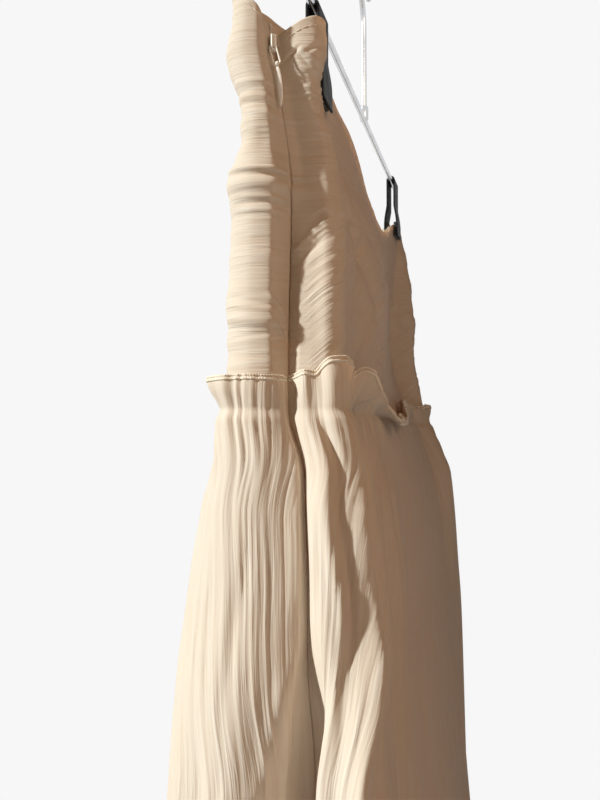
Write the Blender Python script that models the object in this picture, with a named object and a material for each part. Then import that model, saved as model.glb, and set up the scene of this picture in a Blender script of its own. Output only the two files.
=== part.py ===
"""Maxi skirt of crinkle chiffon on a clip hanger.

The skirt hangs flat from a wire hanger with two clips. Its hip yoke is a front and a back panel with a zip in
the side seam at +X. The long tier is gathered onto the yoke, and its top edge stands up as a ruffle.
Metres, +Z up. The origin is the inside top of the hanger's hook, and the front of the skirt faces -Y.
"""

import math

import bmesh
import bpy
import numpy as np
from mathutils import Matrix, Vector

MM = 0.001

# Cloth
GATHER_Z = -0.305
HEM_HEIGHT = -805
CLOTH_WALL = 1.3
CLEARANCE = 0.3
TIER_CLEARANCE = 0.6
YOKE_TUCK = 8
TUCK_IN = 0.3
RUFFLE_HEIGHT = 14

# Columns across one tier panel: each gather is a crest and a trough
GATHERS_PER_PANEL = 60
TIER_COLUMNS = 2 * GATHERS_PER_PANEL + 1

# Zip
TAPE_COLUMNS = 4
TAPE_THICKNESS = 1.0
ZIP_OPEN_FROM = 152
ZIP_OPEN_WIDTH = 6.0
ZIP_OPEN_OVER = 40
ZIP_OPEN_CURVE = 1.5
SLIDER_HEIGHT = 164
SLIDER_LENGTH = 7.6
SLIDER_WIDTH = 2.8
SLIDER_DEPTH = 2.6
SLIDER_LIFT = 2.5
SLIDER_SHIFT = 0.6
SLIDER_ROUNDING = 0.7
BRIDGE_HALF_LENGTH = 3.2
BRIDGE_RISE = 1.7
BRIDGE_WIRE = 0.8
BRIDGE_BEND = 1.0
BRIDGE_ROOT = -0.3
LINK_WIRE = 0.8
LINK_LENGTH = 9.6
LINK_DROP = 2.0
LINK_OFF_FACE = 0.8
LINK_WIDTH = 3.9
LINK_BEND = 0.9
EYE_OUTER = 2.5
EYE_INNER = 1.5
EYE_WIDTH = 1.2
EYE_STEPS = 16
TAB_LENGTH = 19.8
TAB_WIDTH = 2.4
TAB_DEPTH = 0.9
TAB_ROWS = 10
TAB_ROOT = 0.35
TAB_CHAMFER = 0.28
TAB_TIP_FROM = 0.75
TAB_TIP_NARROWS = 0.55
LINK_LEAN = 15
TAB_LEAN = 5

# Hanger
WIRE_DIAMETER = 3.6
HOOK_RADIUS = 21
HOOK_FROM = -66
HOOK_TO = 200
HOOK_STEPS = 30
HOOK_NECK = ((0, -75), (0, -58), (0.6, -51), (3.4, -45))
BAR_Z = -114
BAR_HALF_LENGTH = 166
CLIP_X = 142
CLIP_WIDTH = 22
CLIP_SHEET = 1.2
CLIP_NECK = 2.7
JAW_BOTTOM = -158
JAW_Y = 4.75
LEG_STRAIGHT = 20
LEG_LEAN = 0.3
JAW_BEND_FROM = 22
JAW_BEND_TO = 12
GRIP_INNER = 2.1
GRIP_WIDTH = 18
GRIP_DEPTH = 1.8
GRIP_HEIGHT = 11
GRIP_ROUNDING = 0.4
SHARP_ANGLE = 40

# The clips hold the cloth flat above this height, and over this drop below it the cloth opens again
CLIP_HOLDS_FROM = 138
CLIP_RELAX = 60

# The skirt's plan at each height, in millimetres. Heights count up from the gathered seam. near and far are the
# ends at +X and -X, and back_near is the X of the back roll beside the zip. front, valley and back are the Y of
# the near end's front roll, of the seam between the rolls and of the back roll, and notch is how far the seam
# lies in from the rolls. The rest are the Y of the front and back sheets at the near clip, between it and the
# middle, in the middle, at the far clip and at the far end.
PLAN_COLUMNS = (
    "height", "near", "back_near", "far", "front", "valley", "back", "notch",
    "clip_front", "quarter_front", "middle_front", "far_clip_front", "end_front",
    "clip_back", "quarter_back", "middle_back", "far_clip_back", "end_back",
)
PLAN = (
    (200, 181, 172, -178, -32, -16, 9, 12, -1.65, -5, -8, -1.65, -21, 1.65, 2, 2, 1.65, 1),
    (172, 182, 173, -178, -33, -14, 9, 11, -1.65, -5, -8, -1.65, -22, 1.65, 2, 2, 1.65, 1),
    (160, 182, 173, -178, -36, -13, 9, 11, -1.65, -5, -8, -1.65, -23, 1.65, 3, 2, 1.65, 3),
    (148, 182.5, 171.5, -179, -32, -11, 4.6, 11, -1.65, -5.5, -8.5, -1.65, -23.5, 1.65, 4, 2.5, 1.65, 5),
    (138, 183, 171, -179, -28, -10, 5.5, 11, -1.65, -6, -9, -1.65, -24, 1.65, 5, 3, 1.65, 8),
    (118, 184, 169, -180, -28, -7, 11, 12, -7, -10, -11, -8, -25, 6, 9, 6, -1, 11),
    (100, 185, 172, -181, -33, -5, 12, 12, -13, -15, -15, -13, -26, 11, 15, 11, -4, 13),
    (60, 188, 180, -184, -33, -5, 14, 12, -20, -20, -19, -17, -26, 14, 22, 13, -4, 14),
    (0, 198, 191, -196, -31, -2, 17, 9, -22, -22, -20, -20, -27, 15, 19, 15, 12, 24),
    (-25, 203, 199, -200, -38, 6, 24, 9, -28, -27, -25, -26, -31, 22, 24, 23, 22, 34),
    (-40, 205, 204, -203, -42, 7, 27, 9, -32, -30, -28, -29, -34, 26, 27, 27, 27, 40),
    (-80, 211, 211, -210, -47, 9, 33, 10, -39, -36, -34, -35, -39, 32, 33, 33, 33, 44),
    (-110, 217, 217, -215, -49, 9, 36, 14, -42, -39, -37, -38, -41, 35, 35, 35, 35, 45),
    (-150, 223, 223, -221, -50, 10, 41, 23, -47, -43, -41, -42, -45, 39, 39, 39, 39, 47),
    (-320, 243, 243, -240, -62, 13, 56, 24, -60, -60, -58, -58, -57, 54, 54, 54, 52, 50),
    (-805, 285, 285, -282, -88, 8, 84, 20, -90, -90, -90, -90, -82, 84, 88, 88, 86, 80),
)

# The waist edge's height along each panel, from the zip seam at 0 to the far seam at 1.
WAIST_COLUMNS = ("place", "front", "back")
WAIST = (
    (0.00, 170, 168),
    (0.05, 191, 177),
    (0.10, 184, 174),
    (0.15, 173, 169),
    (0.22, 165, 162),
    (0.36, 155, 154),
    (0.50, 141, 140),
    (0.64, 136, 134),
    (0.76, 143, 142),
    (0.88, 158, 157),
    (0.95, 160, 158),
    (1.00, 164, 164),
)

# Largest folds, each by its panel, top, top_place, bottom, bottom_place, width and depth. A place is along the
# panel as above. width is a half width along the cloth and depth is out of it, both in millimetres, and a
# trough has a negative depth.
FOLDS = (
    ("front", 112, 0.06, 96, 0.06, 30, 2.6),
    ("front", 50, 0.08, 36, 0.02, 18, 1.6),
    ("back", 150, 0.055, 70, 0.075, 9, 2.2),
    ("back", 120, 0.11, 10, 0.42, 11, -3.2),
    ("back", 128, 0.30, 40, 0.62, 14, 2.4),
    ("back", 110, 0.86, 60, 0.97, 12, 2.6),
    ("front", 120, 0.20, 20, 0.45, 13, -3.0),
    ("front", 110, 0.90, 30, 0.62, 14, 2.6),
    ("front", -10, 0.11, -805, 0.07, 12, -9.0),
    ("back", 95, 0.030, 12, 0.032, 9, -2.2),
    ("back", 95, 0.062, 12, 0.070, 9, 4.2),
    ("back", -5, 0.030, -200, 0.085, 9, 4.0),
    ("back", -8, 0.052, -150, 0.078, 7, -5.0),
    ("back", -5, 0.066, -110, 0.103, 7, 6.0),
    ("back", -160, 0.060, -805, 0.050, 8, -6.0),
    ("back", -160, 0.115, -805, 0.105, 9, 6.0),
    ("back", -10, 0.165, -805, 0.160, 9, -8.0),
    ("back", -10, 0.215, -805, 0.215, 11, 6.0),
)

# A fold fades in and out over this height, and one that reaches the hem starts at this share of its depth
FOLD_FADE = 25.0
FOLD_START = 0.5

# Flutes of the tier's hem, counted all round. They start at a place along the panel and are whole over the next
# one. The uneven waves are given by size, waves all round and start.
FLUTES = 24
FLUTE_DEPTH = 9.0
FLUTE_RISE = 0.8
FLUTES_FROM = 0.10
FLUTES_OVER = 0.14
FLUTE_SHIFTS = ((0.006, 3, 1), (0.004, 5, 2))
FLUTE_SIZES = (0.3, 4, 0.7)

# Uneven waves of the gathers' crests, by size, waves along a panel and start
GATHER_WAVES = ((0.28, 7.3, 1), (0.22, 17.1, 2))

# The plan's bends. A roll's points are given by how far they lie in from its end and how far round from its
# middle, both in shares of half its thickness. A seam's side is given in shares of the notch and of the roll.
FRONT_ROLL = ((0.30, 0.72), (1.05, 1.0))
BACK_ROLL = ((0.85, 1.0), (0.22, 0.72))
FAR_ROLL = ((0.95, 1.0), (0.25, 0.7))
FRONT_SIDE = (0.5, 0.22)
FRONT_LIP = (0.10, 0.55)
BACK_LIP = (0.08, 0.42)
BACK_SIDE = (0.55, 0.25)
PLAIN_NOTCH = 12
NOTCH_TURN = 0.5

# A clip presses the cloth over its half length, and the cloth steps out to the roll beside it
CLIP_PRESS = 13
CLIP_STEP = 18
STEP_HELD = 0.45
STEP_RELAXED = 0.4
PRESS_RELAXED = 0.6


def smooth_read(places, values, at):
    """A smooth curve through the values that never swings past them."""
    steps = np.diff(values) / np.diff(places)
    before, after = steps[:-1], steps[1:]
    same_way = before * after > 0
    inner = np.where(same_way, 2 * before * after / np.where(same_way, before + after, 1), 0)
    slopes = np.concatenate([steps[:1], inner, steps[-1:]])
    first = np.clip(np.searchsorted(places, at, side="right") - 1, 0, len(places) - 2)
    span = places[first + 1] - places[first]
    along = np.clip((at - places[first]) / span, 0, 1)
    back = 1 - along
    return (
        values[first] * (1 + 2 * along) * back**2
        + slopes[first] * span * along * back**2
        + values[first + 1] * along**2 * (3 - 2 * along)
        - slopes[first + 1] * span * along**2 * back
    )


def read_table(rows, columns, key, name, at):
    """One named column of a table, read smoothly at places along its key column."""
    order = sorted(rows, key=lambda row: row[columns.index(key)])
    places = np.array([row[columns.index(key)] for row in order], float)
    values = np.array([row[columns.index(name)] for row in order], float)
    return smooth_read(places, values, np.asarray(at, float))


def plan_points(height):
    """The plan's guiding points at one height, from the zip seam along the front to the far seam and back."""
    size = {name: float(read_table(PLAN, PLAN_COLUMNS, "height", name, height)) for name in PLAN_COLUMNS}
    near, far = size["near"], size["far"]
    seam = near - size["notch"]
    relax = min(max((CLIP_HOLDS_FROM - height) / CLIP_RELAX, 0), 1)
    step_share = STEP_HELD + STEP_RELAXED * relax

    front_roll = (size["valley"] - size["front"]) / 2
    middle = size["front"] + front_roll
    turned = NOTCH_TURN * max(size["notch"] - PLAIN_NOTCH, 0)
    points = [(seam, size["valley"])]
    points.append((near - FRONT_SIDE[0] * size["notch"], size["valley"] - FRONT_SIDE[1] * front_roll))
    points.append((near - FRONT_LIP[0] * front_roll - turned, middle + FRONT_LIP[1] * front_roll))
    points.append((near, middle))
    points += [(near - inward * front_roll, middle - round_ * front_roll) for inward, round_ in FRONT_ROLL]

    step = size["front"] - size["clip_front"]
    points.append((CLIP_X + CLIP_STEP, size["clip_front"] + step_share * step))
    points.append((CLIP_X + CLIP_PRESS, size["clip_front"] + PRESS_RELAXED * relax * step))
    points.append((CLIP_X - CLIP_PRESS, size["clip_front"]))
    points.append((CLIP_X / 2, size["quarter_front"]))
    points.append((0, size["middle_front"]))
    points.append((-CLIP_X / 2, (size["far_clip_front"] + size["middle_front"]) / 2))
    points.append((CLIP_PRESS - CLIP_X, size["far_clip_front"]))
    points.append((-CLIP_PRESS - CLIP_X, size["far_clip_front"]))

    end_roll = (size["end_back"] - size["end_front"]) / 2
    end_middle = size["end_front"] + end_roll
    points += [(far + inward * end_roll, end_middle - round_ * end_roll) for inward, round_ in FAR_ROLL]
    points.append((far, end_middle))
    points += [(far + inward * end_roll, end_middle + round_ * end_roll) for inward, round_ in FAR_ROLL[::-1]]

    points.append((-CLIP_PRESS - CLIP_X, size["far_clip_back"]))
    points.append((CLIP_PRESS - CLIP_X, size["far_clip_back"]))
    points.append((-CLIP_X / 2, (size["far_clip_back"] + size["middle_back"]) / 2))
    points.append((0, size["middle_back"]))
    points.append((CLIP_X / 2, size["quarter_back"]))
    points.append((CLIP_X - CLIP_PRESS, size["clip_back"]))
    step = size["back"] - size["clip_back"]
    points.append((CLIP_X + CLIP_PRESS, size["clip_back"] + PRESS_RELAXED * relax * step))
    points.append((CLIP_X + CLIP_STEP, size["clip_back"] + step_share * step))

    back_roll = (size["back"] - size["valley"]) / 2
    middle = size["valley"] + back_roll
    ridge = size["back_near"]
    points += [(ridge - inward * back_roll, middle + round_ * back_roll) for inward, round_ in BACK_ROLL]
    points.append((ridge, middle))
    points.append((ridge + BACK_LIP[0] * (seam - ridge), middle - BACK_LIP[1] * back_roll))
    points.append((ridge + BACK_SIDE[0] * (seam - ridge), size["valley"] + BACK_SIDE[1] * back_roll))
    return np.array(points), points.index((far, end_middle))


RING_SAMPLES = 400
FINE_SAMPLES = 1600
OVERLAP = 4

# How far along the cloth from a side seam its outward direction turns from straight out to its own
SEAM_TURN = 6


def plan_ring(height):
    """The plan as two runs of points, evenly spaced: zip seam to far seam along the front, then the back."""
    points, far_seam = plan_points(height)
    count = len(points)
    looped = np.vstack([points[-OVERLAP:], points, points[:OVERLAP]])
    steps = np.sqrt(np.linalg.norm(np.diff(looped, axis=0), axis=1))
    places = np.concatenate([[0], np.cumsum(steps)])
    runs = []
    for first, last in ((0, far_seam), (far_seam, count)):
        fine = np.linspace(places[first + OVERLAP], places[last + OVERLAP], FINE_SAMPLES)
        line = np.stack([smooth_read(places, looped[:, axis], fine) for axis in (0, 1)], axis=1)
        length = np.concatenate([[0], np.cumsum(np.linalg.norm(np.diff(line, axis=0), axis=1))])
        even = np.linspace(0, length[-1], RING_SAMPLES + 1)
        runs.append(np.stack([np.interp(even, length, line[:, axis]) for axis in (0, 1)], axis=1))
    front = runs[0]
    back = runs[1][::-1]
    return front, back


FORM_STEP = 5
FORM_TOP = 205
FORM_HEIGHTS = np.arange(HEM_HEIGHT, FORM_TOP, FORM_STEP)


def plan_normals(run, seam_to_far):
    """Outward directions in plan, along one run of points. At both side seams they point straight out."""
    along = np.gradient(run, axis=0)
    out = np.stack([-along[:, 1], along[:, 0]], axis=1) * seam_to_far
    out /= np.linalg.norm(out, axis=1, keepdims=True)
    walked = np.linspace(0, np.linalg.norm(np.diff(run, axis=0), axis=1).sum(), len(run))
    for distance, straight in ((walked, 1), (walked[-1] - walked, -1)):
        own = np.clip(distance / SEAM_TURN, 0, 1)[:, None]
        own = own**2 * (3 - 2 * own)
        out = own * out + (1 - own) * np.array([straight, 0])
    return out / np.linalg.norm(out, axis=1, keepdims=True)


def build_form():
    """The plan's points, normals and length for both panels, at every step of height."""
    form = {"front": ([], [], []), "back": ([], [], [])}
    for height in FORM_HEIGHTS:
        for name, run, turn in zip(("front", "back"), plan_ring(height), (1, -1)):
            form[name][0].append(run)
            form[name][1].append(plan_normals(run, turn))
            form[name][2].append(np.linalg.norm(np.diff(run, axis=0), axis=1).sum())
    return {name: tuple(np.array(part) for part in parts) for name, parts in form.items()}


FORM = build_form()


def between(grid, place, height):
    """Reads a grid of plan points at places along the panel and at heights, between its rows and columns."""
    row = np.clip((height - FORM_HEIGHTS[0]) / FORM_STEP, 0, len(FORM_HEIGHTS) - 1.001)
    column = np.clip(place * RING_SAMPLES, 0, RING_SAMPLES - 0.001)
    low, left = row.astype(int), column.astype(int)
    up, right = (row - low)[..., None], (column - left)[..., None]
    bottom = grid[low, left] * (1 - right) + grid[low, left + 1] * right
    top = grid[low + 1, left] * (1 - right) + grid[low + 1, left + 1] * right
    return bottom * (1 - up) + top * up


def fold_depth(panel, place, height):
    """How far the named folds push the cloth out, in millimetres."""
    total = np.zeros_like(place)
    lengths = np.interp(height, FORM_HEIGHTS, FORM[panel][2])
    for name, top, top_place, bottom, bottom_place, width, depth in FOLDS:
        if name != panel:
            continue
        down = np.clip((top - height) / (top - bottom), 0, 1)
        centre = top_place + (bottom_place - top_place) * down
        soft = min(FOLD_FADE, (top - bottom) / 2)
        fade = np.clip((top + soft - height) / (2 * soft), 0, 1)
        fade *= np.where(bottom <= HEM_HEIGHT, 1, np.clip((height - bottom + soft) / (2 * soft), 0, 1))
        grow = FOLD_START + (1 - FOLD_START) * down if bottom <= HEM_HEIGHT else 1.0
        across = (place - centre) * lengths / width
        total += depth * grow * fade**2 * (3 - 2 * fade) * np.exp(-(across**2))
    return total


def flute_depth(panel, place, height):
    """The hem's own flutes, which die out upwards and give way to the named folds at the zip end."""
    turn = place / 2 if panel == "front" else 1 - place / 2
    uneven = turn + sum(size * np.sin(2 * math.pi * count * turn + start) for size, count, start in FLUTE_SHIFTS)
    change, count, start = FLUTE_SIZES
    size = 1 + change * np.sin(2 * math.pi * count * turn + start)
    lower = np.clip(height / HEM_HEIGHT, 0, 1) ** FLUTE_RISE
    away = np.clip((place - FLUTES_FROM) / FLUTES_OVER, 0, 1)
    return FLUTE_DEPTH * size * lower * away * np.sin(2 * math.pi * FLUTES * uneven)


def cloth_points(panel, place, height, out):
    """Points on the cloth's outer face, moved out by a distance, in metres."""
    level = np.maximum(height, HEM_HEIGHT)
    points = between(FORM[panel][0], place, level)
    normals = between(FORM[panel][1], place, level)
    normals /= np.linalg.norm(normals, axis=-1, keepdims=True)
    move = out + fold_depth(panel, place, level)
    move = move + np.where(height < 0, flute_depth(panel, place, level), 0)
    flat = points + normals * move[..., None]
    return np.concatenate([flat * MM, (GATHER_Z + height * MM)[..., None]], axis=-1)


def gather_wave(place):
    """Crests at 1 and troughs at 0 along a panel, with uneven crests."""
    wave = 0.5 - 0.5 * np.cos(2 * math.pi * GATHERS_PER_PANEL * place)
    uneven = 1 + sum(size * np.sin(2 * math.pi * count * place + start) for size, count, start in GATHER_WAVES)
    return wave * uneven


def material(name, colour, roughness, metallic=0.0):
    """A plain material."""
    made = bpy.data.materials.new(name)
    made.use_nodes = True
    surface = made.node_tree.nodes["Principled BSDF"]
    surface.inputs["Base Color"].default_value = (*colour, 1)
    surface.inputs["Roughness"].default_value = roughness
    surface.inputs["Metallic"].default_value = metallic
    return made


def keep(name, mesh, look, origin=(0, 0, 0)):
    """Writes a bmesh to a named object whose origin is at a point of the skirt's frame."""
    bmesh.ops.translate(mesh, verts=mesh.verts, vec=-Vector(origin))
    bmesh.ops.recalc_face_normals(mesh, faces=mesh.faces)
    data = bpy.data.meshes.new(name)
    mesh.to_mesh(data)
    mesh.free()
    data.materials.append(look)
    data.shade_smooth()
    data.set_sharp_from_angle(angle=math.radians(SHARP_ANGLE))
    made = bpy.data.objects.new(name, data)
    made.location = origin
    bpy.context.scene.collection.objects.link(made)
    return made


def wall(name, outer, inner, look):
    """A closed wall between two grids of points, given as rows of columns."""
    rows, columns = outer.shape[:2]
    mesh = bmesh.new()
    bmesh.ops.create_grid(mesh, x_segments=columns - 1, y_segments=rows - 1, size=1)
    outside = list(mesh.verts)
    bmesh.ops.extrude_face_region(mesh, geom=mesh.faces[:], use_keep_orig=True)
    kept = set(outside)
    for vertex in mesh.verts:
        column = round((vertex.co.x + 1) / 2 * (columns - 1))
        row = round((vertex.co.y + 1) / 2 * (rows - 1))
        vertex.co = outer[row, column] if vertex in kept else inner[row, column]
    return keep(name, mesh, look)


def zip_shift(places, height, length):
    """Opens the zip above its slider: the panel's columns move away from the seam, most at the edge."""
    opened = np.clip((height - ZIP_OPEN_FROM) / ZIP_OPEN_OVER, 0, 1) ** ZIP_OPEN_CURVE * ZIP_OPEN_WIDTH
    edge = (CLEARANCE / 2 + opened) / length
    return edge + places * (1 - edge - CLEARANCE / 2 / length)


# The yoke takes each of the tier's columns up to the near clip, every fourth one up to the far clip, and every
# second one at the far end
EACH_COLUMN_TO = 26
FOURTH_COLUMN_TO = 97


def yoke_columns():
    """Places of the yoke's columns: the tier's own up to the near clip, then fewer of them."""
    near = list(range(0, EACH_COLUMN_TO))
    flat = list(range(EACH_COLUMN_TO + 2, FOURTH_COLUMN_TO, 4))
    far = list(range(FOURTH_COLUMN_TO + 1, TIER_COLUMNS, 2))
    return np.array(near + flat + far) / (TIER_COLUMNS - 1)


YOKE_ROWS = (-YOKE_TUCK, 0, 6, RUFFLE_HEIGHT, 32, 52, 72, 92, 110, 125)
YOKE_EDGE_ROWS = 3
RUFFLE_ROWS = 4


def yoke_grid(panel, places):
    """Heights and places of the yoke's grid: level rows behind the ruffle, then rows up to the waist edge."""
    edge = read_table(WAIST, WAIST_COLUMNS, "place", panel, places)
    rows = [np.full_like(places, height) for height in YOKE_ROWS]
    for step in range(1, YOKE_EDGE_ROWS + 1):
        share = step / YOKE_EDGE_ROWS
        rows.append(YOKE_ROWS[-1] + (edge - YOKE_ROWS[-1]) * share)
    heights = np.array(rows)
    length = np.interp(heights, FORM_HEIGHTS, FORM[panel][2])
    return heights, zip_shift(places[None, :], heights, length)


def build_yoke(panel, look):
    """A hip yoke panel. Below the gathered seam it hangs straight, inside the tier."""
    heights, places = yoke_grid(panel, yoke_columns())
    level = np.maximum(heights, 0)
    drawn_in = np.where(heights <= RUFFLE_HEIGHT, -TUCK_IN, 0.0)
    outer = cloth_points(panel, places, level, drawn_in)
    inner = cloth_points(panel, places, level, drawn_in - CLOTH_WALL)
    for points in (outer, inner):
        points[..., 2] = GATHER_Z + heights * MM
    return wall(f"yoke_{panel}", outer, inner, look)


# Rows of the tier by height, crest and lean: how far crests stand out of the gathers and how far the cloth leans
# out, in millimetres
TIER_ROWS = (
    (HEM_HEIGHT, 0.0, 0.0),
    (-500, 0.1, 0.0),
    (-260, 0.5, 0.0),
    (-140, 0.9, 0.0),
    (-70, 1.3, 0.0),
    (-24, 2.0, 1.2),
    (0, 1.9, 0.0),
    (6, 2.4, 1.2),
    (RUFFLE_HEIGHT, 3.4, 3.6),
)


# How far from the zip seam the ruffle and the gathers stay pressed flat, in millimetres
SEAM_PRESS = 20


def build_tier(panel, look):
    """A tier panel, from the hem to the ruffle's edge. Its troughs lie on the yoke at the gathered seam."""
    places = np.linspace(0, 1, TIER_COLUMNS)
    heights = np.array([row[0] for row in TIER_ROWS], float)[:, None] + 0 * places
    crest = np.array([row[1] for row in TIER_ROWS])[:, None]
    lean = np.array([row[2] for row in TIER_ROWS])[:, None]
    length = np.interp(heights, FORM_HEIGHTS, FORM[panel][2])
    edge = CLEARANCE / 2 / length
    along = edge + places * (1 - 2 * edge)
    free = np.clip(along * length / SEAM_PRESS, 0, 1) ** 2
    inside = TIER_CLEARANCE + (lean + crest * gather_wave(places)) * free
    outer = cloth_points(panel, along, heights, inside + CLOTH_WALL)
    inner = cloth_points(panel, along, heights, inside)
    return wall(f"tier_{panel}", outer, inner, look)


def build_tape(panel, look):
    """A zip tape, made from the points of the panel it is sewn to and moved inside it."""
    heights, places = yoke_grid(panel, yoke_columns())
    use = slice(RUFFLE_ROWS, None)
    heights = heights[use, :TAPE_COLUMNS]
    places = places[use, :TAPE_COLUMNS]
    outside = -CLOTH_WALL - CLEARANCE
    outer = cloth_points(panel, places, heights, np.full_like(heights, outside))
    inner = cloth_points(panel, places, heights, np.full_like(heights, outside - TAPE_THICKNESS))
    return wall(f"zip_tape_{panel}", outer, inner, look)


def seam_point(height):
    """The zip seam's point on the cloth's outer face at one height, in millimetres."""
    point = cloth_points("front", np.array([0.0]), np.array([float(height)]), np.array([0.0]))[0]
    return Vector(point) / MM


def rounded_box(name, size, centre, radius, look):
    """A box with rounded edges, in millimetres, with its origin at its centre."""
    mesh = bmesh.new()
    bmesh.ops.create_cube(mesh, size=1, matrix=Matrix.Diagonal((*(Vector(size) * MM), 1)))
    bmesh.ops.bevel(
        mesh, geom=mesh.edges[:], offset=radius * MM, segments=2, profile=0.5, affect="EDGES", material=-1
    )
    bmesh.ops.translate(mesh, verts=mesh.verts, vec=Vector(centre) * MM)
    return keep(name, mesh, look, Vector(centre) * MM)


def wire_curve(name, points, diameter, look, closed=False, sides=3, origin=(0, 0, 0)):
    """A round wire through points given in millimetres."""
    data = bpy.data.curves.new(name, "CURVE")
    data.dimensions = "3D"
    data.bevel_depth = diameter / 2 * MM
    data.bevel_resolution = sides
    data.use_fill_caps = True
    line = data.splines.new("POLY")
    line.points.add(len(points) - 1)
    for spot, point in zip(line.points, points):
        spot.co = (*((Vector(point) - Vector(origin)) * MM), 1)
    line.use_cyclic_u = closed
    data.materials.append(look)
    made = bpy.data.objects.new(name, data)
    made.location = Vector(origin) * MM
    bpy.context.scene.collection.objects.link(made)
    return made


def as_mesh(item):
    """Turns a curve object into a mesh object of the same name."""
    data = bpy.data.meshes.new_from_object(item.evaluated_get(bpy.context.evaluated_depsgraph_get()))
    name, place = item.name, item.location.copy()
    bpy.data.objects.remove(item)
    made = bpy.data.objects.new(name, data)
    made.location = place
    bpy.context.scene.collection.objects.link(made)
    return made


def join_to(base, extra):
    """Joins one shape to another as a Boolean union and hides the shape that was added."""
    union = base.modifiers.new("union", "BOOLEAN")
    union.operation = "UNION"
    union.object = extra
    extra.hide_render = True
    extra.display_type = "WIRE"


def arc(radius, start, end, steps):
    """Points on a circle round the origin, from one angle to another in degrees."""
    angles = np.radians(np.linspace(start, end, steps))
    return [(radius * math.cos(angle), radius * math.sin(angle)) for angle in angles]


def build_slider(look):
    """The slider lies in the seam's groove. Its bridge is a small hoop that the link hangs from."""
    seam = seam_point(SLIDER_HEIGHT)
    centre = seam + Vector((SLIDER_LIFT + SLIDER_DEPTH / 2, SLIDER_SHIFT, 0))
    size = (SLIDER_DEPTH, SLIDER_WIDTH, SLIDER_LENGTH)
    body = rounded_box("zip_slider", size, centre, SLIDER_ROUNDING, look)
    face = centre.x + SLIDER_DEPTH / 2
    corner_x, corner_z = BRIDGE_RISE - BRIDGE_BEND, BRIDGE_HALF_LENGTH - BRIDGE_BEND
    upper = [(corner_x + x, corner_z + z) for x, z in arc(BRIDGE_BEND, 0, 90, 5)]
    upper.append((BRIDGE_ROOT, BRIDGE_HALF_LENGTH))
    half = [(x, -z) for x, z in upper[::-1]] + upper
    hoop = [(face + x, centre.y, centre.z + z) for x, z in half]
    bridge = as_mesh(wire_curve("zip_bridge_shape", hoop, BRIDGE_WIRE, look))
    join_to(body, bridge)
    return Vector((face + LINK_OFF_FACE, centre.y, centre.z - LINK_DROP))


def build_link(pivot, look):
    """A wire loop with its top bar in the bridge. Its origin is on the hinge, at the top bar."""
    half = LINK_WIDTH / 2 - LINK_WIRE / 2
    low = LINK_WIRE - LINK_LENGTH
    outline = []
    for y, z, start in ((half, low, -90), (half, 0, 0), (-half, 0, 90), (-half, low, 180)):
        inward_y = y - math.copysign(LINK_BEND, y)
        inward_z = z - LINK_BEND if z == 0 else z + LINK_BEND
        outline += [(inward_y + a, inward_z + b) for a, b in arc(LINK_BEND, start, start + 90, 4)]
    lean = Matrix.Rotation(math.radians(LINK_LEAN), 3, "X")
    points = [pivot + lean @ Vector((0, y, z)) for y, z in outline]
    wire_curve("zip_pull_link", points, LINK_WIRE, look, closed=True, sides=2, origin=pivot)
    return pivot + lean @ Vector((0, 0, low))


def tab_eye(pivot, look):
    """The tab's square-edged ring round the link's lower bar."""
    mesh = bmesh.new()
    ring = []
    for side in (-1, 1):
        for radius in (EYE_INNER / 2, EYE_OUTER / 2):
            for step in range(EYE_STEPS):
                angle = 2 * math.pi * step / EYE_STEPS
                spot = pivot + Vector((radius * math.sin(angle), side * EYE_WIDTH / 2, -radius * math.cos(angle)))
                ring.append(mesh.verts.new(spot * MM))
    for step in range(EYE_STEPS):
        after = (step + 1) % EYE_STEPS
        for first, second in ((0, 1), (1, 3), (3, 2), (2, 0)):
            corners = ((first, step), (first, after), (second, after), (second, step))
            mesh.faces.new([ring[circle * EYE_STEPS + place] for circle, place in corners])
    return keep("zip_pull_tab", mesh, look, pivot * MM)


def tab_outline(share):
    """The blade's chamfered outline in X and Y, at a share of its length from the eye down."""
    belly = math.sin(math.pi * share**0.8) ** 0.9
    half = EYE_WIDTH / 2 + (TAB_WIDTH - EYE_WIDTH) / 2 * belly
    half *= 1 - TAB_TIP_NARROWS * max(0.0, share - TAB_TIP_FROM) / (1 - TAB_TIP_FROM)
    depth = TAB_DEPTH / 2
    cut = TAB_CHAMFER
    return [(-depth, -half + cut), (-depth, half - cut), (-depth + cut, half), (depth - cut, half),
            (depth, half - cut), (depth, -half + cut), (depth - cut, -half), (-depth + cut, -half)]


def build_tab(pivot, look):
    """The pull tab: its eye, and a drop-shaped blade under it."""
    eye = tab_eye(pivot, look)
    blade = bmesh.new()
    lean = Matrix.Rotation(math.radians(TAB_LEAN), 3, "X")
    top = EYE_OUTER / 2 - TAB_ROOT
    rings = []
    for row in range(TAB_ROWS + 1):
        share = row / TAB_ROWS
        drop = -top - share * (TAB_LENGTH - top)
        spots = [pivot + lean @ Vector((x, y, drop)) for x, y in tab_outline(share)]
        rings.append([blade.verts.new(spot * MM) for spot in spots])
    for upper, lower in zip(rings, rings[1:]):
        for place in range(len(upper)):
            after = (place + 1) % len(upper)
            blade.faces.new([upper[place], upper[after], lower[after], lower[place]])
    blade.faces.new(rings[0])
    blade.faces.new(rings[-1])
    join_to(eye, keep("zip_blade_shape", blade, look, pivot * MM))


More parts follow.
